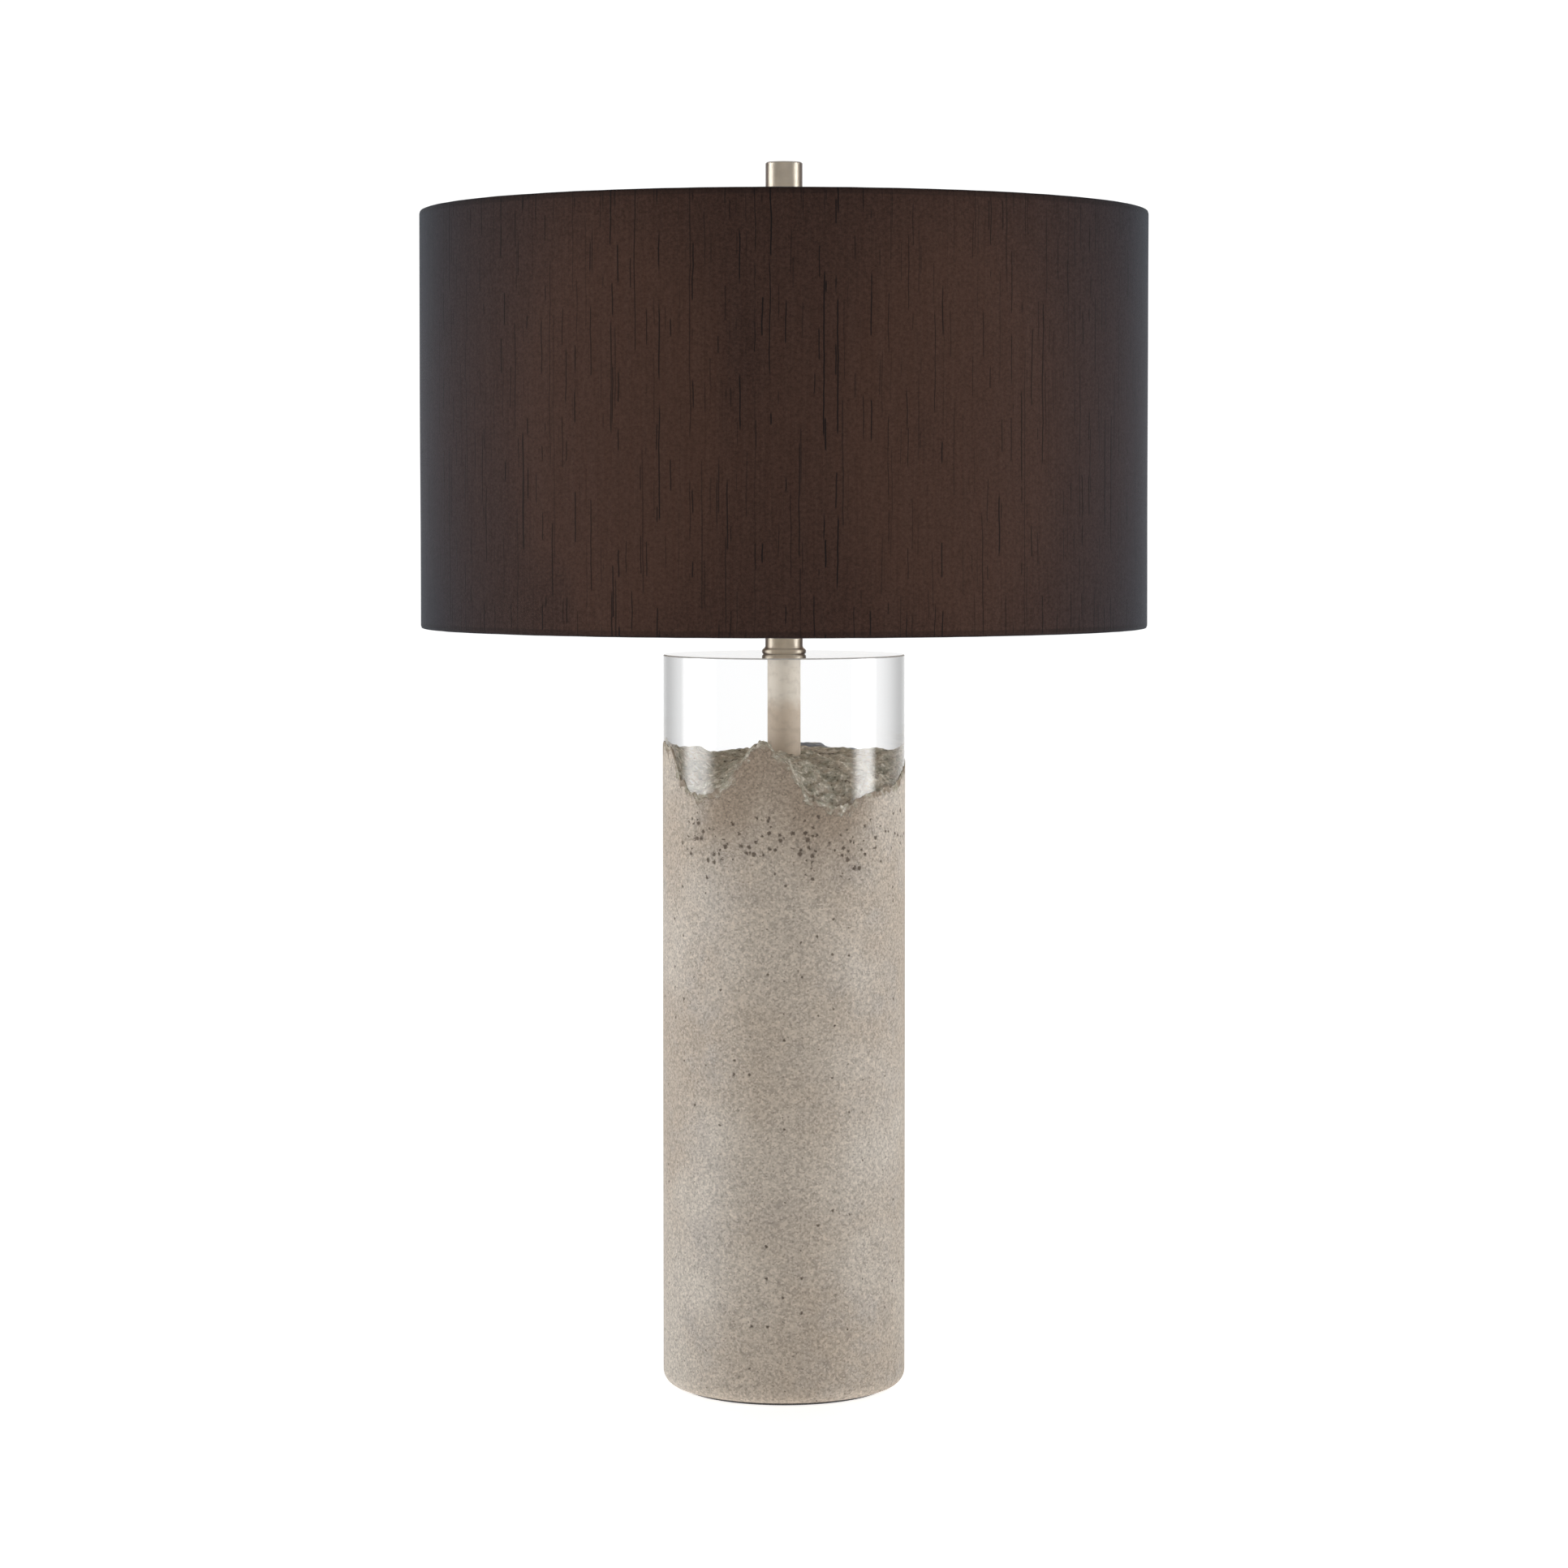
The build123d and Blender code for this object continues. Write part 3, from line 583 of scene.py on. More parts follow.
def makeConcreteSkin(look):
    material, tree, shader = newMaterial("castConcrete", Specular_IOR_Level=0.25)
    position = ownPosition(tree)
    wall = useGroup(tree, unrolledWall, Position=position, Radius=column["radius"])["Vector"]
    broad = noiseValue(tree, position, 9.0, 3.0, 0.55)
    patches = noiseValue(tree, position, 34.0, 4.0, 0.6)
    colour = mixColour(tree, ramp(tree, broad, 0.36, 0.62), look["pale"], look["tan"])
    colour = mixColour(tree, ramp(tree, patches, 0.45, 0.75, 0.0, 0.75), colour, look["grey"])
    apart = axesOf(tree, position)
    front = ramp(tree, apart.outputs[1], -0.045, -0.068)
    depth = addNode(tree, "Attribute", attribute_name="rimDepth").outputs["Fac"]
    # browner down the front, and most under the break
    colour = mixColour(tree, ramp(tree, apart.outputs[1], -0.060, -0.0765, 0.0, 0.45), colour, look["warm"])
    # a darker brown zone on the front, close under the break
    frontUnderBreak = maths(tree, "MULTIPLY", ramp(tree, depth, 0.080, 0.012), front)
    frontUnderBreak = maths(tree, "MULTIPLY", frontUnderBreak, ramp(tree, broad, 0.3, 0.6, 0.45, 0.8))
    colour = mixColour(tree, frontUnderBreak, colour, look["frontUnderBreak"])
    sand = useGroup(tree, sandGrains, Position=position, Size=0.0011, Amount=1.05)
    colour = mixColour(tree, 1.0, colour, sand["Shade"], "MULTIPLY")
    # bubbles: a few everywhere, and many in one uneven band
    drift = maths(tree, "MULTIPLY", noiseValue(tree, position, 22.0, 2.0), 0.05)
    away = maths(tree, "SUBTRACT", maths(tree, "ADD", apart.outputs[2], drift), look["bandHeight"] + 0.025)
    band = ramp(tree, maths(tree, "ABSOLUTE", away), look["bandWidth"] * 1.5, 0.0, 0.0, 0.85)
    toFront = ramp(tree, apart.outputs[1], -0.03, -0.058, look["bandSides"], 1.0)
    band = maths(tree, "MULTIPLY", band, toFront)
    clumps = ramp(tree, noiseValue(tree, position, 85.0, 3.0, 0.6), 0.38, 0.60)
    share = maths(tree, "MULTIPLY", band, clumps)
    many = useGroup(tree, pinholes, Vector=wall, Spacing=0.0046, Size=0.0020, Share=share)["Mask"]
    few = useGroup(tree, pinholes, Vector=wall, Spacing=0.0105, Size=0.00125, Share=0.20)["Mask"]
    tiny = useGroup(tree, pinholes, Vector=wall, Spacing=0.0031, Size=0.00055, Share=0.24)["Mask"]
    holes = maths(tree, "MAXIMUM", maths(tree, "MAXIMUM", few, maths(tree, "MULTIPLY", tiny, 0.5)), many)
    # the holes' dark colour is painted shade inside them
    colour = mixColour(tree, maths(tree, "MULTIPLY", holes, 0.82), colour, look["hole"])
    # the broken edge is darker, and chipped in places
    rim = ramp(tree, depth, 0.0038, 0.0002)
    rim = maths(tree, "MULTIPLY", rim, ramp(tree, patches, 0.25, 0.6, 0.2, 0.85))
    colour = mixColour(tree, rim, colour, look["rim"])
    rubble = useGroup(tree, brokenRubble, Position=position, **brokenLook)
    bite = maths(tree, "MULTIPLY", noiseValue(tree, position, 110.0, 4.0, 0.62), 0.028)
    chips = ramp(tree, maths(tree, "ADD", depth, bite), 0.0186, 0.0170)
    stained = ramp(tree, rubble["Patches"], 0.40, 0.60, 0.25, 0.75)
    crumbs = mixColour(tree, stained, rubble["Colour"], look["rim"])
    colour = mixColour(tree, chips, colour, crumbs)
    feed(tree, shader.inputs["Base Color"], colour)
    feed(tree, shader.inputs["Roughness"], ramp(tree, patches, 0.3, 0.7, 0.78, 0.92))
    relief = maths(tree, "SUBTRACT", maths(tree, "MULTIPLY", sand["Height"], 0.12), holes)
    sunken = maths(tree, "MULTIPLY", chips, maths(tree, "SUBTRACT", rubble["Height"], 1.6))
    relief = maths(tree, "ADD", relief, sunken)
    feed(tree, shader.inputs["Normal"], bumpFrom(tree, relief, 0.85, 0.0006))
    return material


def makeBrokenConcrete(look):
    material, tree, shader = newMaterial("brokenConcrete", Specular_IOR_Level=0.2)
    position = ownPosition(tree)
    rubble = useGroup(tree, brokenRubble, Position=position, **look)
    depth = addNode(tree, "Attribute", attribute_name="rimDepth").outputs["Fac"]
    rim = ramp(tree, rubble["Patches"], 0.35, 0.6, 0.0, 0.55)
    rim = maths(tree, "MULTIPLY", ramp(tree, depth, 0.006, 0.0008), rim)
    colour = mixColour(tree, rim, rubble["Colour"], rgb(0.205, 0.150, 0.108))
    # bluish-grey, glossier patches along the far side of the break
    apart = axesOf(tree, position)
    tallerPosition = stretched(tree, position, 1.0, 1.0, 2.6)
    farBluePatches = ramp(tree, noiseValue(tree, tallerPosition, 62.0, 2.0, 0.5), 0.53, 0.57)
    farBluePatches = maths(tree, "MULTIPLY", farBluePatches, ramp(tree, apart.outputs[1], 0.012, 0.03))
    colour = mixColour(tree, maths(tree, "MULTIPLY", farBluePatches, 0.8), colour, rgb(0.185, 0.235, 0.330))
    feed(tree, shader.inputs["Base Color"], colour)
    feed(tree, shader.inputs["Roughness"], ramp(tree, farBluePatches, 0.0, 1.0, 0.9, 0.45))
    feed(tree, shader.inputs["Normal"], bumpFrom(tree, rubble["Height"], 0.9, 0.0012))
    return material


def letLampsThrough(tree, shader, tint):
    # lamps reach what is cast inside the glass
    path = addNode(tree, "LightPath")
    passing = maths(tree, "MAXIMUM", path.outputs["Is Shadow Ray"], path.outputs["Is Diffuse Ray"])
    clear = addNode(tree, "BsdfTransparent")
    clear.inputs["Color"].default_value = tint
    both = addNode(tree, "MixShader")
    tree.links.new(passing, both.inputs[0])
    tree.links.new(shader.outputs[0], both.inputs[1])
    tree.links.new(clear.outputs[0], both.inputs[2])
    tree.links.new(both.outputs[0], tree.nodes["Material Output"].inputs["Surface"])


def makeClearGlass():
    material, tree, shader = newMaterial("clearCast", Transmission_Weight=1.0, IOR=1.49)
    shader.inputs["Base Color"].default_value = rgb(0.965, 0.968, 0.97)
    marks = useGroup(tree, handlingMarks, Position=ownPosition(tree), Scale=24.0, Low=0.0, High=0.012)
    feed(tree, shader.inputs["Roughness"], marks["Roughness"])
    letLampsThrough(tree, shader, rgb(0.93, 0.93, 0.93))
    return material


def makeGroundEdge():
    # the narrow bevel round the top is ground, not polished
    material, tree, shader = newMaterial("groundEdge", Transmission_Weight=0.35, IOR=1.49)
    marks = useGroup(tree, handlingMarks, Position=ownPosition(tree), Scale=300.0, Low=0.35, High=0.5)
    shades = mixColour(tree, marks["Mask"], rgb(0.36, 0.36, 0.37), rgb(0.50, 0.50, 0.50))
    feed(tree, shader.inputs["Base Color"], shades)
    feed(tree, shader.inputs["Roughness"], marks["Roughness"])
    return material


def makeSleeveCoat():
    # cream above, and dusted with cement further down
    material, tree, shader = newMaterial("sleeveCoat", Specular_IOR_Level=0.35)
    position = ownPosition(tree)
    height = axesOf(tree, position)
    drift = maths(tree, "MULTIPLY", noiseValue(tree, position, 160.0, 3.0), 0.012)
    level = maths(tree, "ADD", height.outputs[2], drift)
    dusted, cream = rgb(0.70, 0.595, 0.485), rgb(0.86, 0.80, 0.71)
    colour = mixColour(tree, ramp(tree, level, 0.434, 0.446), dusted, cream)
    marks = useGroup(tree, handlingMarks, Position=position, Scale=240.0, Low=0.45, High=0.7)
    colour = mixColour(tree, maths(tree, "MULTIPLY", marks["Mask"], 0.25), colour, rgb(0.30, 0.25, 0.20))
    feed(tree, shader.inputs["Base Color"], colour)
    feed(tree, shader.inputs["Roughness"], marks["Roughness"])
    feed(tree, shader.inputs["Normal"], bumpFrom(tree, marks["Height"], 0.25, 0.0003))
    return material


def makeMetal(
    name, colour, dark, lines=2600.0, low=0.2, high=0.36, relief=0.08, thread=None, edge=None, spread=0.0
):
    material, tree, shader = newMaterial(name, Metallic=1.0)
    position = ownPosition(tree)
    grain = useGroup(tree, turnedGrain, Position=position, Lines=lines, Low=low, High=high)
    mixed = mixColour(tree, ramp(tree, grain["Cloud"], 0.35, 0.7), colour, dark)
    # the edge colour is a painted dark reflection: the metal is darkened where it is seen edge-on
    if edge:  # darker where the plate is seen edge-on
        slant = addNode(tree, "LayerWeight")
        slant.inputs["Blend"].default_value = 0.5
        mixed = mixColour(tree, ramp(tree, slant.outputs["Facing"], 0.30, 0.62), mixed, edge)
    feed(tree, shader.inputs["Base Color"], mixed)
    feed(tree, shader.inputs["Roughness"], grain["Roughness"])
    if spread:  # a turned surface draws its reflections out along the axis
        shader.inputs["Anisotropic"].default_value = spread
        shader.inputs["Anisotropic Rotation"].default_value = 0.25
        around = addNode(tree, "Tangent", direction_type="RADIAL", axis="Z")
        tree.links.new(around.outputs[0], shader.inputs["Tangent"])
    normal = bumpFrom(tree, grain["Height"], relief, 0.0002)
    if thread:  # rolled thread, by its pitch
        height = axesOf(tree, position)
        turns = maths(tree, "SINE", maths(tree, "MULTIPLY", height.outputs[2], 2 * pi / thread))
        normal = bumpFrom(tree, turns, 0.6, thread * 0.4, normal)
    feed(tree, shader.inputs["Normal"], normal)
    return material


def makePlastic(name, colour, worn, low=0.3, high=0.5, relief=0.12, **sockets):
    material, tree, shader = newMaterial(name, **sockets)
    marks = useGroup(tree, handlingMarks, Position=ownPosition(tree), Scale=120.0, Low=low, High=high)
    feed(tree, shader.inputs["Base Color"], mixColour(tree, marks["Mask"], colour, worn))
    feed(tree, shader.inputs["Roughness"], marks["Roughness"])
    feed(tree, shader.inputs["Normal"], bumpFrom(tree, marks["Height"], relief, 0.0002))
    return material


def makeFelt():
    material, tree, shader = newMaterial(
        "feltPad", Sheen_Weight=0.5, Sheen_Roughness=0.6, Specular_IOR_Level=0.1
    )
    position = ownPosition(tree)
    fibres = noiseValue(tree, stretched(tree, position, 1.0, 1.0, 0.3), 1500.0, 5.0, 0.75)
    tufts = noiseValue(tree, position, 260.0, 4.0, 0.65)
    dark, grey = rgb(0.022, 0.022, 0.024), rgb(0.075, 0.072, 0.07)
    colour = mixColour(tree, ramp(tree, fibres, 0.35, 0.65), dark, grey)
    colour = mixColour(tree, ramp(tree, tufts, 0.45, 0.7, 0.0, 0.5), colour, rgb(0.11, 0.105, 0.10))
    feed(tree, shader.inputs["Base Color"], colour)
    feed(tree, shader.inputs["Roughness"], ramp(tree, tufts, 0.3, 0.7, 0.88, 1.0))
    feed(tree, shader.inputs["Normal"], bumpFrom(tree, fibres, 0.8, 0.0006))
    return material


clothLook = {
    "brown": rgb(0.044, 0.0225, 0.0170),
    "light": rgb(0.049, 0.0265, 0.0205),
    # painted sheen and shade for where the cloth is seen edge-on
    "paintedEdgeSheen": rgb(0.0150, 0.0165, 0.0240),
    "slub": rgb(0.009, 0.0065, 0.0065),
    # painted glow: emission colour standing in for the bulb's light through the cloth
    "glow": rgb(0.0165, 0.0078, 0.0044),
    "paintedGlowHeight": 0.600,
    "paintedGlowReach": 0.19,
    "thread": 0.00062,
    "radius": 0.2285,
    "hem": 0.0038,
    "lap": 0.0065,
}


def makeShadeCloth(look):
    material, tree, shader = newMaterial(
        "shadeCloth", Sheen_Weight=0.11, Sheen_Roughness=0.30, Specular_IOR_Level=0.10,
        Emission_Strength=1.0,
    )
    shader.inputs["Sheen Tint"].default_value = rgb(0.55, 0.78, 1.0)
    position = ownPosition(tree)
    wall = useGroup(tree, unrolledWall, Position=position, Radius=look["radius"])["Vector"]
    # upright slubs: thin dark threads, long ones far apart and short ones closer
    longSlubs = useGroup(
        tree, slubThreads, Vector=wall, Pitch=0.0085, Width=0.0012, Length=0.085, Share=0.66
    )
    shortSlubs = useGroup(
        tree, slubThreads, Vector=wall, Pitch=0.0043, Width=0.0011, Length=0.034, Share=0.48, Offset=0.37
    )
    faintSlubs = useGroup(
        tree, slubThreads, Vector=wall, Pitch=0.0026, Width=0.0008, Length=0.045, Share=0.8, Offset=0.71
    )
    slubs = maths(tree, "MAXIMUM", longSlubs["Mask"], shortSlubs["Mask"])
    slubs = maths(tree, "MAXIMUM", slubs, maths(tree, "MULTIPLY", faintSlubs["Mask"], 0.16))
    streaks = noiseValue(tree, stretched(tree, wall, 1.0, 0.03, 0.0), 380.0, 3.0, 0.65, flat=True)
    # plain weave under them
    apart = axesOf(tree, wall)
    warp = maths(tree, "SINE", maths(tree, "MULTIPLY", apart.outputs[0], 2 * pi / look["thread"]))
    weft = maths(tree, "SINE", maths(tree, "MULTIPLY", apart.outputs[1], 2 * pi / look["thread"]))
    weave = maths(tree, "MULTIPLY", warp, weft)
    fuzz = noiseValue(tree, wall, 1500.0, 2.0, 0.6)
    colour = mixColour(tree, ramp(tree, streaks, 0.25, 0.75), look["brown"], look["light"])
    speckle = noiseValue(tree, wall, 620.0, 2.0, 0.7)
    # painted sheen and shade: the cloth turns darker and bluish where it is seen edge-on
    slant = addNode(tree, "LayerWeight")
    slant.inputs["Blend"].default_value = 0.5
    paintedEdgeSheen = ramp(tree, slant.outputs["Facing"], 0.10, 0.85, 0.0, 0.85)
    colour = mixColour(tree, paintedEdgeSheen, colour, look["paintedEdgeSheen"])
    grain = maths(tree, "ADD", maths(tree, "MULTIPLY", weave, 0.10), maths(tree, "MULTIPLY", fuzz, 0.4))
    grain = maths(tree, "ADD", grain, maths(tree, "MULTIPLY", maths(tree, "SUBTRACT", speckle, 0.5), 1.6))
    colour = mixColour(tree, 1.0, colour, maths(tree, "ADD", grain, 0.75), "MULTIPLY")
    colour = mixColour(tree, maths(tree, "MULTIPLY", slubs, 0.95), colour, look["slub"])
    # the rolled edges look darker, and a painted shadow line runs along the edge of the lap at the back
    low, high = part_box("shade_fabric")
    above = maths(tree, "SUBTRACT", apart.outputs[1], low.z)
    fromEdge = maths(tree, "MINIMUM", above, maths(tree, "SUBTRACT", high.z, apart.outputs[1]))
    hem = ramp(tree, fromEdge, look["hem"] * 1.15, look["hem"] * 0.85, 0.0, 0.4)
    paintedLapShadow = maths(tree, "SUBTRACT", apart.outputs[0], pi * look["radius"] - look["lap"])
    paintedLapShadow = ramp(tree, maths(tree, "ABSOLUTE", paintedLapShadow), 0.0007, 0.0002, 0.0, 0.8)
    colour = mixColour(tree, maths(tree, "MAXIMUM", hem, paintedLapShadow), colour, look["slub"])
    feed(tree, shader.inputs["Base Color"], colour)
    feed(tree, shader.inputs["Roughness"], ramp(tree, fuzz, 0.3, 0.7, 0.62, 0.8))
    relief = maths(tree, "ADD", maths(tree, "MULTIPLY", weave, 0.25), maths(tree, "MULTIPLY", slubs, 0.8))
    relief = maths(tree, "ADD", relief, maths(tree, "MULTIPLY", fuzz, 0.5))
    feed(tree, shader.inputs["Normal"], bumpFrom(tree, relief, 0.35, 0.00025))
    # painted glow: the bulb's light coming through the cloth is painted on as emission, strongest level
    # with the bulb, with two brighter lobes either side of the front
    away = maths(tree, "ABSOLUTE", maths(tree, "SUBTRACT", apart.outputs[1], look["paintedGlowHeight"]))
    sideways = maths(tree, "SUBTRACT", maths(tree, "ABSOLUTE", apart.outputs[0]), 0.105)
    paintedLobes = ramp(tree, maths(tree, "ABSOLUTE", sideways), 0.090, 0.0, 0.65, 2.2)
    glow = maths(tree, "MULTIPLY", ramp(tree, away, look["paintedGlowReach"], 0.0), paintedLobes)
    glow = maths(tree, "MULTIPLY", glow, ramp(tree, apart.outputs[2], 0.2279, 0.2281))
    glow = maths(tree, "MULTIPLY", glow, maths(tree, "SUBTRACT", 1.0, maths(tree, "MULTIPLY", slubs, 0.8)))
    glow = maths(tree, "MULTIPLY", glow, ramp(tree, streaks, 0.3, 0.7, 0.94, 1.06))
    feed(tree, shader.inputs["Emission Color"], mixColour(tree, glow, rgb(0, 0, 0), look["glow"]))
    return material


def makeBulbGlass():
    material, tree, shader = newMaterial("bulbGlass", Emission_Strength=5.0, Coat_Weight=0.5)
    marks = useGroup(tree, handlingMarks, Position=ownPosition(tree), Scale=70.0, Low=0.25, High=0.4)
    opal = mixColour(tree, marks["Mask"], rgb(0.86, 0.85, 0.82), rgb(0.80, 0.78, 0.74))
    feed(tree, shader.inputs["Base Color"], opal)
    feed(tree, shader.inputs["Roughness"], marks["Roughness"])
    height = axesOf(tree, ownPosition(tree))
    hot = ramp(tree, height.outputs[2], 0.575, 0.612)
    lit = mixColour(tree, hot, rgb(0.40, 0.22, 0.10), rgb(1.0, 0.72, 0.44))
    feed(tree, shader.inputs["Emission Color"], lit)
    return material


def makeBoard():
    material, tree, shader = newMaterial("fibreBoard", Specular_IOR_Level=0.2)
    position = ownPosition(tree)
    fibres = noiseValue(tree, stretched(tree, position, 1.0, 1.0, 0.08), 1400.0, 4.0, 0.7)
    colour = mixColour(tree, ramp(tree, fibres, 0.35, 0.65), rgb(0.20, 0.155, 0.11), rgb(0.33, 0.27, 0.20))
    feed(tree, shader.inputs["Base Color"], colour)
    feed(tree, shader.inputs["Roughness"], ramp(tree, fibres, 0.3, 0.7, 0.75, 0.9))
    feed(tree, shader.inputs["Normal"], bumpFrom(tree, fibres, 0.3, 0.0003))
    return material


def makeLiner():
    material, tree, shader = newMaterial("linerSheet", Specular_IOR_Level=0.3)
    position = ownPosition(tree)
    fibres = noiseValue(tree, stretched(tree, position, 1.0, 1.0, 0.25), 420.0, 4.0, 0.6)
    colour = mixColour(tree, ramp(tree, fibres, 0.35, 0.68), rgb(0.78, 0.735, 0.655), rgb(0.70, 0.65, 0.57))
    feed(tree, shader.inputs["Base Color"], colour)
    feed(tree, shader.inputs["Roughness"], ramp(tree, fibres, 0.3, 0.7, 0.5, 0.68))
    feed(tree, shader.inputs["Normal"], bumpFrom(tree, fibres, 0.15, 0.0003))
    return material


def makeStemGlass():
    material, tree, shader = newMaterial("stemGlass", Transmission_Weight=1.0, IOR=1.5)
    marks = useGroup(tree, handlingMarks, Position=ownPosition(tree), Scale=300.0, Low=0.02, High=0.12)
    tint = mixColour(tree, marks["Mask"], rgb(0.95, 0.97, 0.97), rgb(0.88, 0.9, 0.9))
    feed(tree, shader.inputs["Base Color"], tint)
    feed(tree, shader.inputs["Roughness"], marks["Roughness"])
    return material


# nickel's edge colour is a painted dark reflection along its outlines
nickel = makeMetal(
    "brushedNickel", rgb(0.80, 0.735, 0.64), rgb(0.72, 0.655, 0.56), low=0.46, high=0.54, relief=0.01,
    edge=rgb(0.16, 0.12, 0.10), spread=0.85,
)
zinc = makeMetal("zincSteel", rgb(0.60, 0.61, 0.62), rgb(0.44, 0.45, 0.47), lines=900.0, low=0.3, high=0.5)
rodZinc = makeMetal(
    "threadedZinc", rgb(0.58, 0.59, 0.60), rgb(0.40, 0.41, 0.43), low=0.3, high=0.48, thread=0.0009
)
brass = makeMetal(
    "plainBrass", rgb(0.74, 0.54, 0.25), rgb(0.52, 0.36, 0.15), lines=1600.0, low=0.24, high=0.42
)
capMetal = makeMetal(
    "rolledAluminium", rgb(0.80, 0.80, 0.81), rgb(0.66, 0.66, 0.67), lines=1200.0, low=0.25, high=0.4
)
solder = makeMetal(
    "solderTip", rgb(0.55, 0.55, 0.56), rgb(0.36, 0.36, 0.37), lines=700.0, low=0.3, high=0.55
)
tungsten = makeMetal(
    "drawnWire", rgb(0.34, 0.33, 0.33), rgb(0.2, 0.2, 0.2), lines=3200.0, low=0.35, high=0.5
)
blackPlastic = makePlastic(
    "blackMoulding", rgb(0.012, 0.012, 0.013), rgb(0.03, 0.03, 0.032), low=0.28, high=0.45
)
blackGlass = makePlastic("blackGlass", rgb(0.01, 0.008, 0.012), rgb(0.03, 0.025, 0.03), low=0.08, high=0.2)
concreteSkin = makeConcreteSkin(concreteLook)
brokenConcrete = makeBrokenConcrete(brokenLook)
clearGlass = makeClearGlass()
groundEdge = makeGroundEdge()
shadeCloth = makeShadeCloth(clothLook)
print("lamp: materials ready")

carriedOver = {
    makeFelt(): ["felt_pad"],
    zinc: [
        "base_plate", "flat_washer", "lock_washer", "rod_nut", "saddle_nut", "shade_top_ring",
        "shade_bottom_ring",
    ],
    rodZinc: ["threaded_rod"],
    makeSleeveCoat(): ["rod_sleeve"],
    nickel: [
        "collar_ring", "neck_tube", "neck_cap", "harp_saddle", "harp_loop", "harp_stud",
        "harp_ferrule_left", "harp_ferrule_right", "socket_cap", "socket_shell",
        "neutral_terminal_screw", "spider_washer", "spider_arms", "finial",
    ],
    brass: [
        "socket_set_screw", "live_terminal_screw", "lampholder_shell", "centre_contact", "switch_shaft",
    ],
    blackPlastic: ["cord_bushing", "socket_body", "switch_knob"],
    makeBoard(): ["socket_insulator"],
    makeBulbGlass(): ["bulb_globe"],
    capMetal: ["bulb_screw_cap"],
    blackGlass: ["bulb_insulator"],
    solder: ["bulb_tip"],
    makeStemGlass(): ["bulb_stem"],
    tungsten: ["bulb_filament"],
    makeLiner(): ["shade_liner"],
}
for material, names in carriedOver.items():
    for name in names:
        for spot in cadNodes[name].material_slots:
            spot.material = material
print("lamp: parts from the frame have their finishes")


drum = {
    "steps": 600,
    "thickness": 0.0006,
    "edgeRadius": 0.0019,
    "ringInside": 0.2234,
    "linerInside": 0.2268,
    "turn": 0.0046,
    "hemEnd": 0.0115,
    "seamHalfWidth": 0.0065,
    "seamLift": 0.00035,
    "seamRun": 0.0012,  # how soon the lap rises
    "turnDrop": 0.0025,
    "longRows": 26,
    "ripple": 0.00025,
    "waver": 0.0001,
    "flatCut": (0.2845, 1.452),
}


def roundedRun(corners, radius, parts=5):
    # a line with its inner corners rounded
    line = [Vector(corners[0])]
    for before, corner, after in zip(corners, corners[1:], corners[2:]):
        before, corner, after = Vector(before), Vector(corner), Vector(after)
        back, on = (before - corner), (after - corner)
        reach = min(radius, back.length * 0.45, on.length * 0.45)
        start, end = corner + back.normalized() * reach, corner + on.normalized() * reach
        for part in range(parts + 1):
            t = part / parts
            line.append(start * (1 - t) ** 2 + corner * 2 * t * (1 - t) + end * t * t)
    line.append(Vector(corners[-1]))
    return line


def thickened(line, thickness):
    # closed outline round a line of (radius, height)
    near, far = [], []
    for index, point in enumerate(line):
        ahead = line[min(index + 1, len(line) - 1)] - line[max(index - 1, 0)]
        side = Vector((ahead.y, -ahead.x)).normalized() * thickness / 2
        near.append(point + side)
        far.append(point - side)
    return near + far[::-1]


def makeCloth(settings, material):
    low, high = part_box("shade_fabric")
    half = settings["thickness"] / 2
    outside = high.x - half
    top, bottom = high.z - half, low.z + half
    turn, drop, hemEnd = settings["turn"], settings["turnDrop"], settings["hemEnd"]
    corners = [
        (settings["linerInside"], top - hemEnd),
        (settings["linerInside"], top - turn - drop),
        (settings["ringInside"], top - turn),
        (settings["ringInside"], top),
        (outside, top),
        (outside, bottom),
        (settings["ringInside"], bottom),
        (settings["ringInside"], bottom + turn),
        (settings["linerInside"], bottom + turn + drop),
        (settings["linerInside"], bottom + hemEnd),
    ]
    line = roundedRun(corners, settings["edgeRadius"])
    longRun = max(range(len(line) - 1), key=lambda i: (line[i + 1] - line[i]).length)
    start, end = line[longRun], line[longRun + 1]
    parts = settings["longRows"]
    line[longRun + 1:longRun + 1] = [start.lerp(end, part / parts) for part in range(1, parts)]
    outline = thickened(line, settings["thickness"])
    steps = settings["steps"]
    wide = settings["seamHalfWidth"]

    def place(row, step):
        radius, height = outline[row]
        angle = 2 * pi * step / steps
        fromSeam = min(angle, 2 * pi - angle) * radius
        if radius > outside - half:
            lap = max(0.0, min(1.0, (wide - fromSeam) / settings["seamRun"] + 0.5))
            radius += settings["seamLift"] * (lap - 1)
            ripple = noise.noise(Vector((sin(angle) * 5, cos(angle) * 5, height * 9)))
            radius += settings["ripple"] * ripple
        height += settings["waver"] * noise.noise(Vector((sin(angle) * 14, cos(angle) * 14, 2.0)))
        return aroundAxis(radius, step, steps, height)

    points, faces = turnedGrid(len(outline), steps, place, closed=True)
    piece = buildPiece("shadeCloth", points, faces, [material], "shade")
    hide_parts("shade_fabric")
    return piece


makeCloth(drum, shadeCloth)
print("lamp: cloth on the drum")

radii, heights = breakHeights(column)
concrete = makeConcrete(column, radii, heights, [concreteSkin, brokenConcrete])
boreOutlet(concrete, outlet)
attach(concrete, "lamp")
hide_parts("concrete_body")
casting = makeClearCasting(column, radii, heights, [clearGlass, groundEdge])
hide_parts("clear_top")
print("lamp: concrete and clear casting ready")


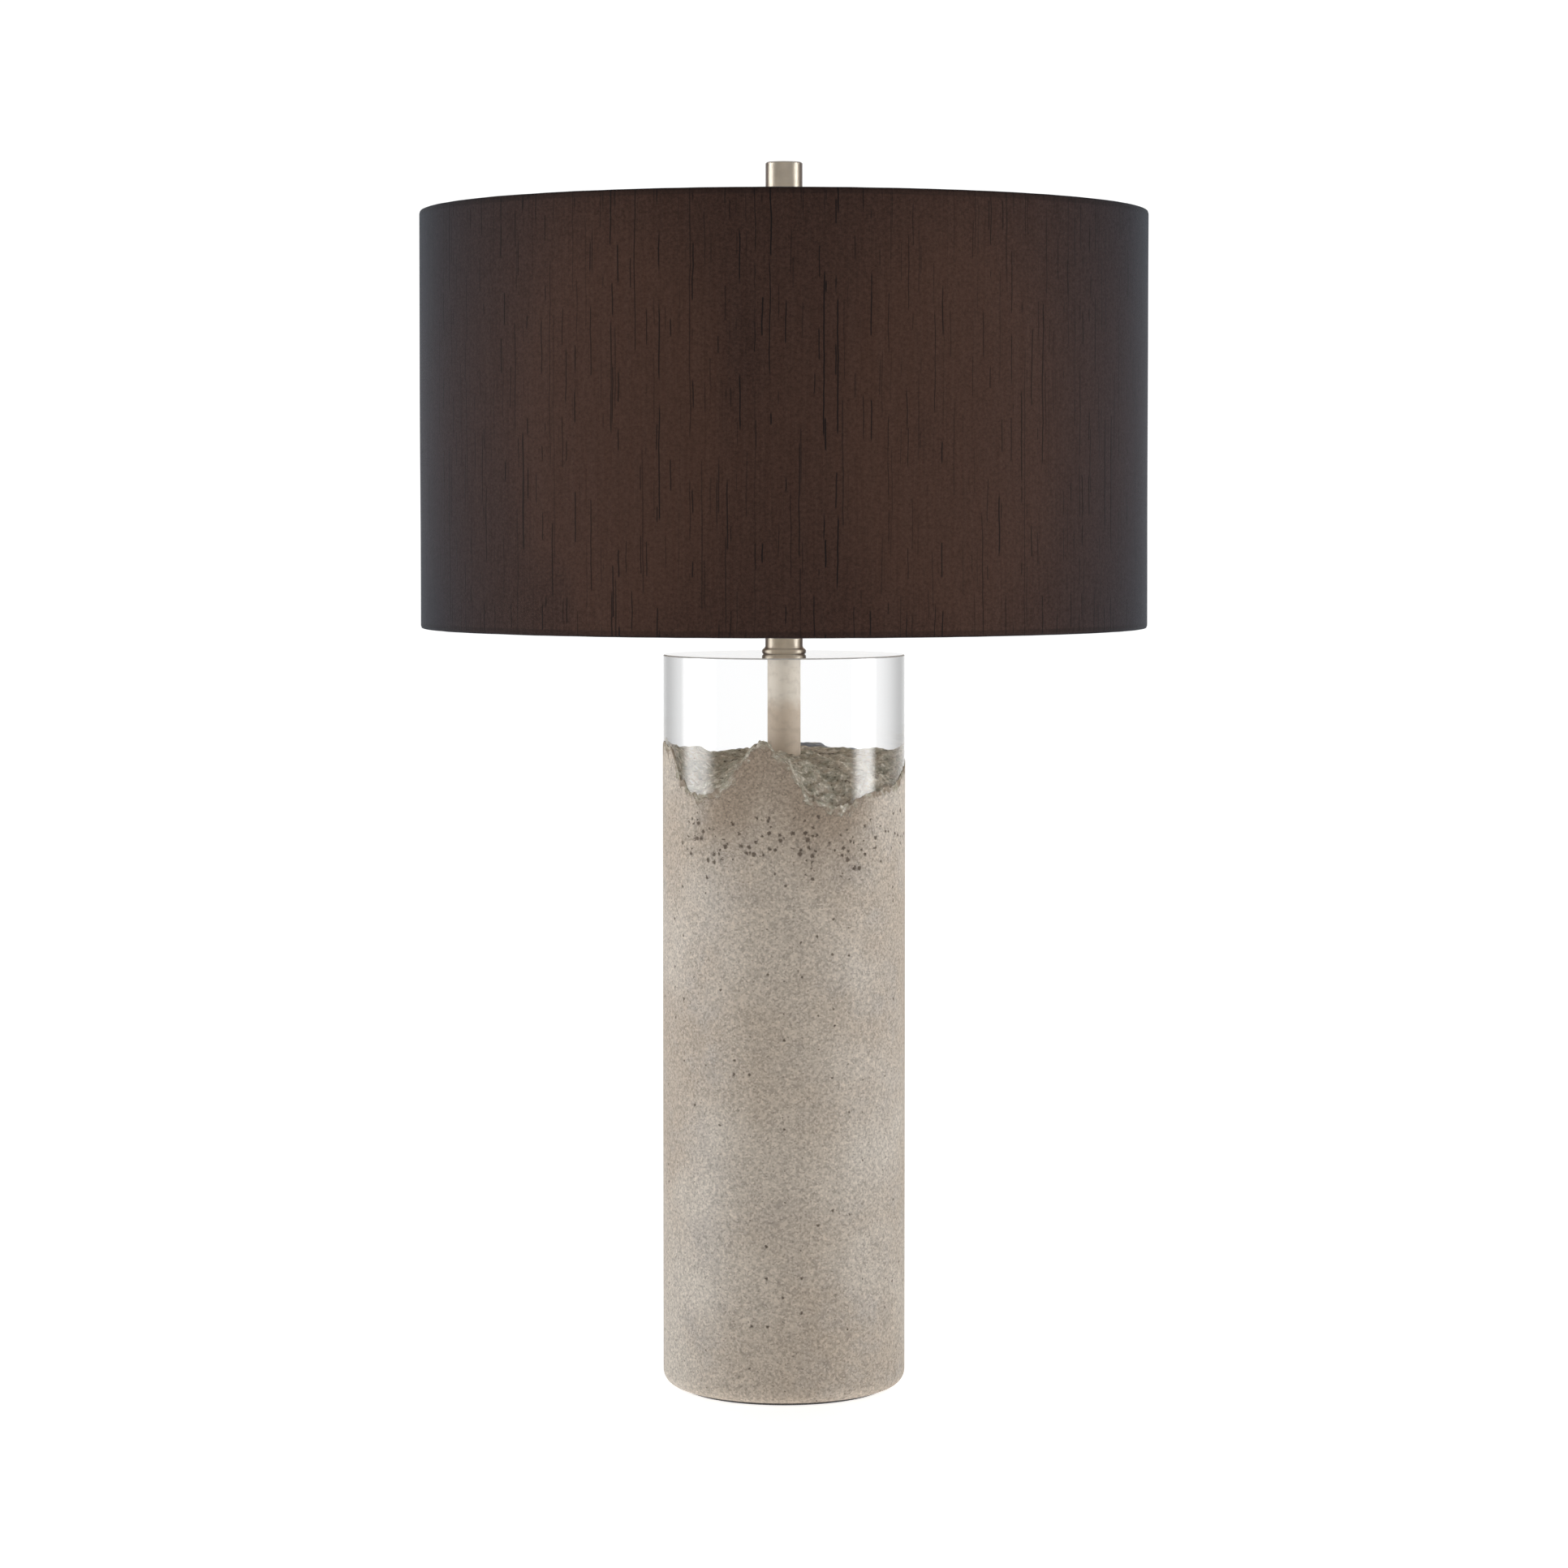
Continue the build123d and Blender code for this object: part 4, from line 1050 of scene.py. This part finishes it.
studio = {
    "floorColour": rgb(0.86, 0.86, 0.86),
    "floorGlow": 0.70,
    "floorRadius": 4.2,
    "backdrop": 1.08,
    "room": 0.33,
    # soft boxes far off: angles in degrees from straight behind the camera, and the sine of the height
    "boxes": (
        {
            "side": -1, "angle": 91, "halfWidth": 16,
            "height": 0.015, "halfHeight": 0.095, "brightness": 10.0,
        },
        {
            "side": 1, "angle": 83, "halfWidth": 11,
            "height": 0.015, "halfHeight": 0.110, "brightness": 12.0,
        },
    ),
    "camera": {"place": (0.0, -2.6986, 0.5592), "aim": 0.4414, "lens": 98.3, "shift": -0.06},
}


def makeFloor(settings):
    material, tree, shader = newMaterial("paleFloor", Roughness=0.9, Specular_IOR_Level=0.0)
    shader.inputs["Base Color"].default_value = settings["floorColour"]
    shader.inputs["Emission Color"].default_value = rgb(1, 1, 1)
    shader.inputs["Emission Strength"].default_value = settings["floorGlow"]
    facing = addNode(tree, "NewGeometry")
    clear = addNode(tree, "BsdfTransparent")
    both = addNode(tree, "MixShader")
    tree.links.new(facing.outputs["Backfacing"], both.inputs[0])
    tree.links.new(shader.outputs[0], both.inputs[1])
    tree.links.new(clear.outputs[0], both.inputs[2])
    tree.links.new(both.outputs[0], tree.nodes["Material Output"].inputs["Surface"])
    reach = settings["floorRadius"]
    points = [(reach * cos(2 * pi * s / 96), reach * sin(2 * pi * s / 96), -0.0003) for s in range(96)]
    floor = buildPiece("floor", points, [tuple(range(96))], [material], None)


def makeRoom(settings):
    world = bpy.data.worlds.new("studio")
    bpy.context.scene.world = world
    world.use_nodes = True
    tree = world.node_tree
    background = tree.nodes["Background"]
    direction = axesOf(tree, addNode(tree, "TexCoord").outputs["Generated"])
    path = addNode(tree, "LightPath")
    direct = maths(tree, "SUBTRACT", 1.0, path.outputs["Is Transmission Ray"])  # no boxes through the glass
    level = ramp(tree, direction.outputs[1], 0.30, 0.88, settings["room"], settings["backdrop"])
    for box in settings["boxes"]:
        sideways = maths(tree, "MULTIPLY", direction.outputs[0], box["side"])
        angle = maths(tree, "ARCTAN2", sideways, maths(tree, "MULTIPLY", direction.outputs[1], -1.0))
        aside = maths(tree, "ABSOLUTE", maths(tree, "SUBTRACT", angle, radians(box["angle"])))
        above = maths(tree, "ABSOLUTE", maths(tree, "SUBTRACT", direction.outputs[2], box["height"]))
        wide, tall = radians(box["halfWidth"]), box["halfHeight"]
        glow = maths(tree, "MULTIPLY", ramp(tree, aside, wide * 1.6, wide * 0.4), direct)
        glow = maths(tree, "MULTIPLY", glow, ramp(tree, above, tall * 1.4, tall * 0.6))
        level = maths(tree, "ADD", level, maths(tree, "MULTIPLY", glow, box["brightness"]))
    level = maths(tree, "MAXIMUM", level, maths(tree, "MULTIPLY", path.outputs["Is Camera Ray"], 1.1))
    feed(tree, background.inputs["Strength"], level)
    background.inputs["Color"].default_value = rgb(1, 1, 1)


def makeCamera(settings):
    camera = bpy.data.objects.new("camera", bpy.data.cameras.new("camera"))
    camera.data.lens = settings["lens"]
    camera.data.shift_y = settings["shift"]
    camera.location = settings["place"]
    aim = Vector((0, 0, settings["aim"])) - camera.location
    camera.rotation_euler = aim.to_track_quat("-Z", "Y").to_euler()
    bpy.context.scene.collection.objects.link(camera)
    bpy.context.scene.camera = camera


makeFloor(studio)
makeRoom(studio)
makeCamera(studio["camera"])
bpy.context.scene.view_settings.view_transform = "Standard"
bpy.context.scene.cycles.caustics_refractive = False
bpy.context.scene.cycles.caustics_reflective = False
print("lamp: studio ready")
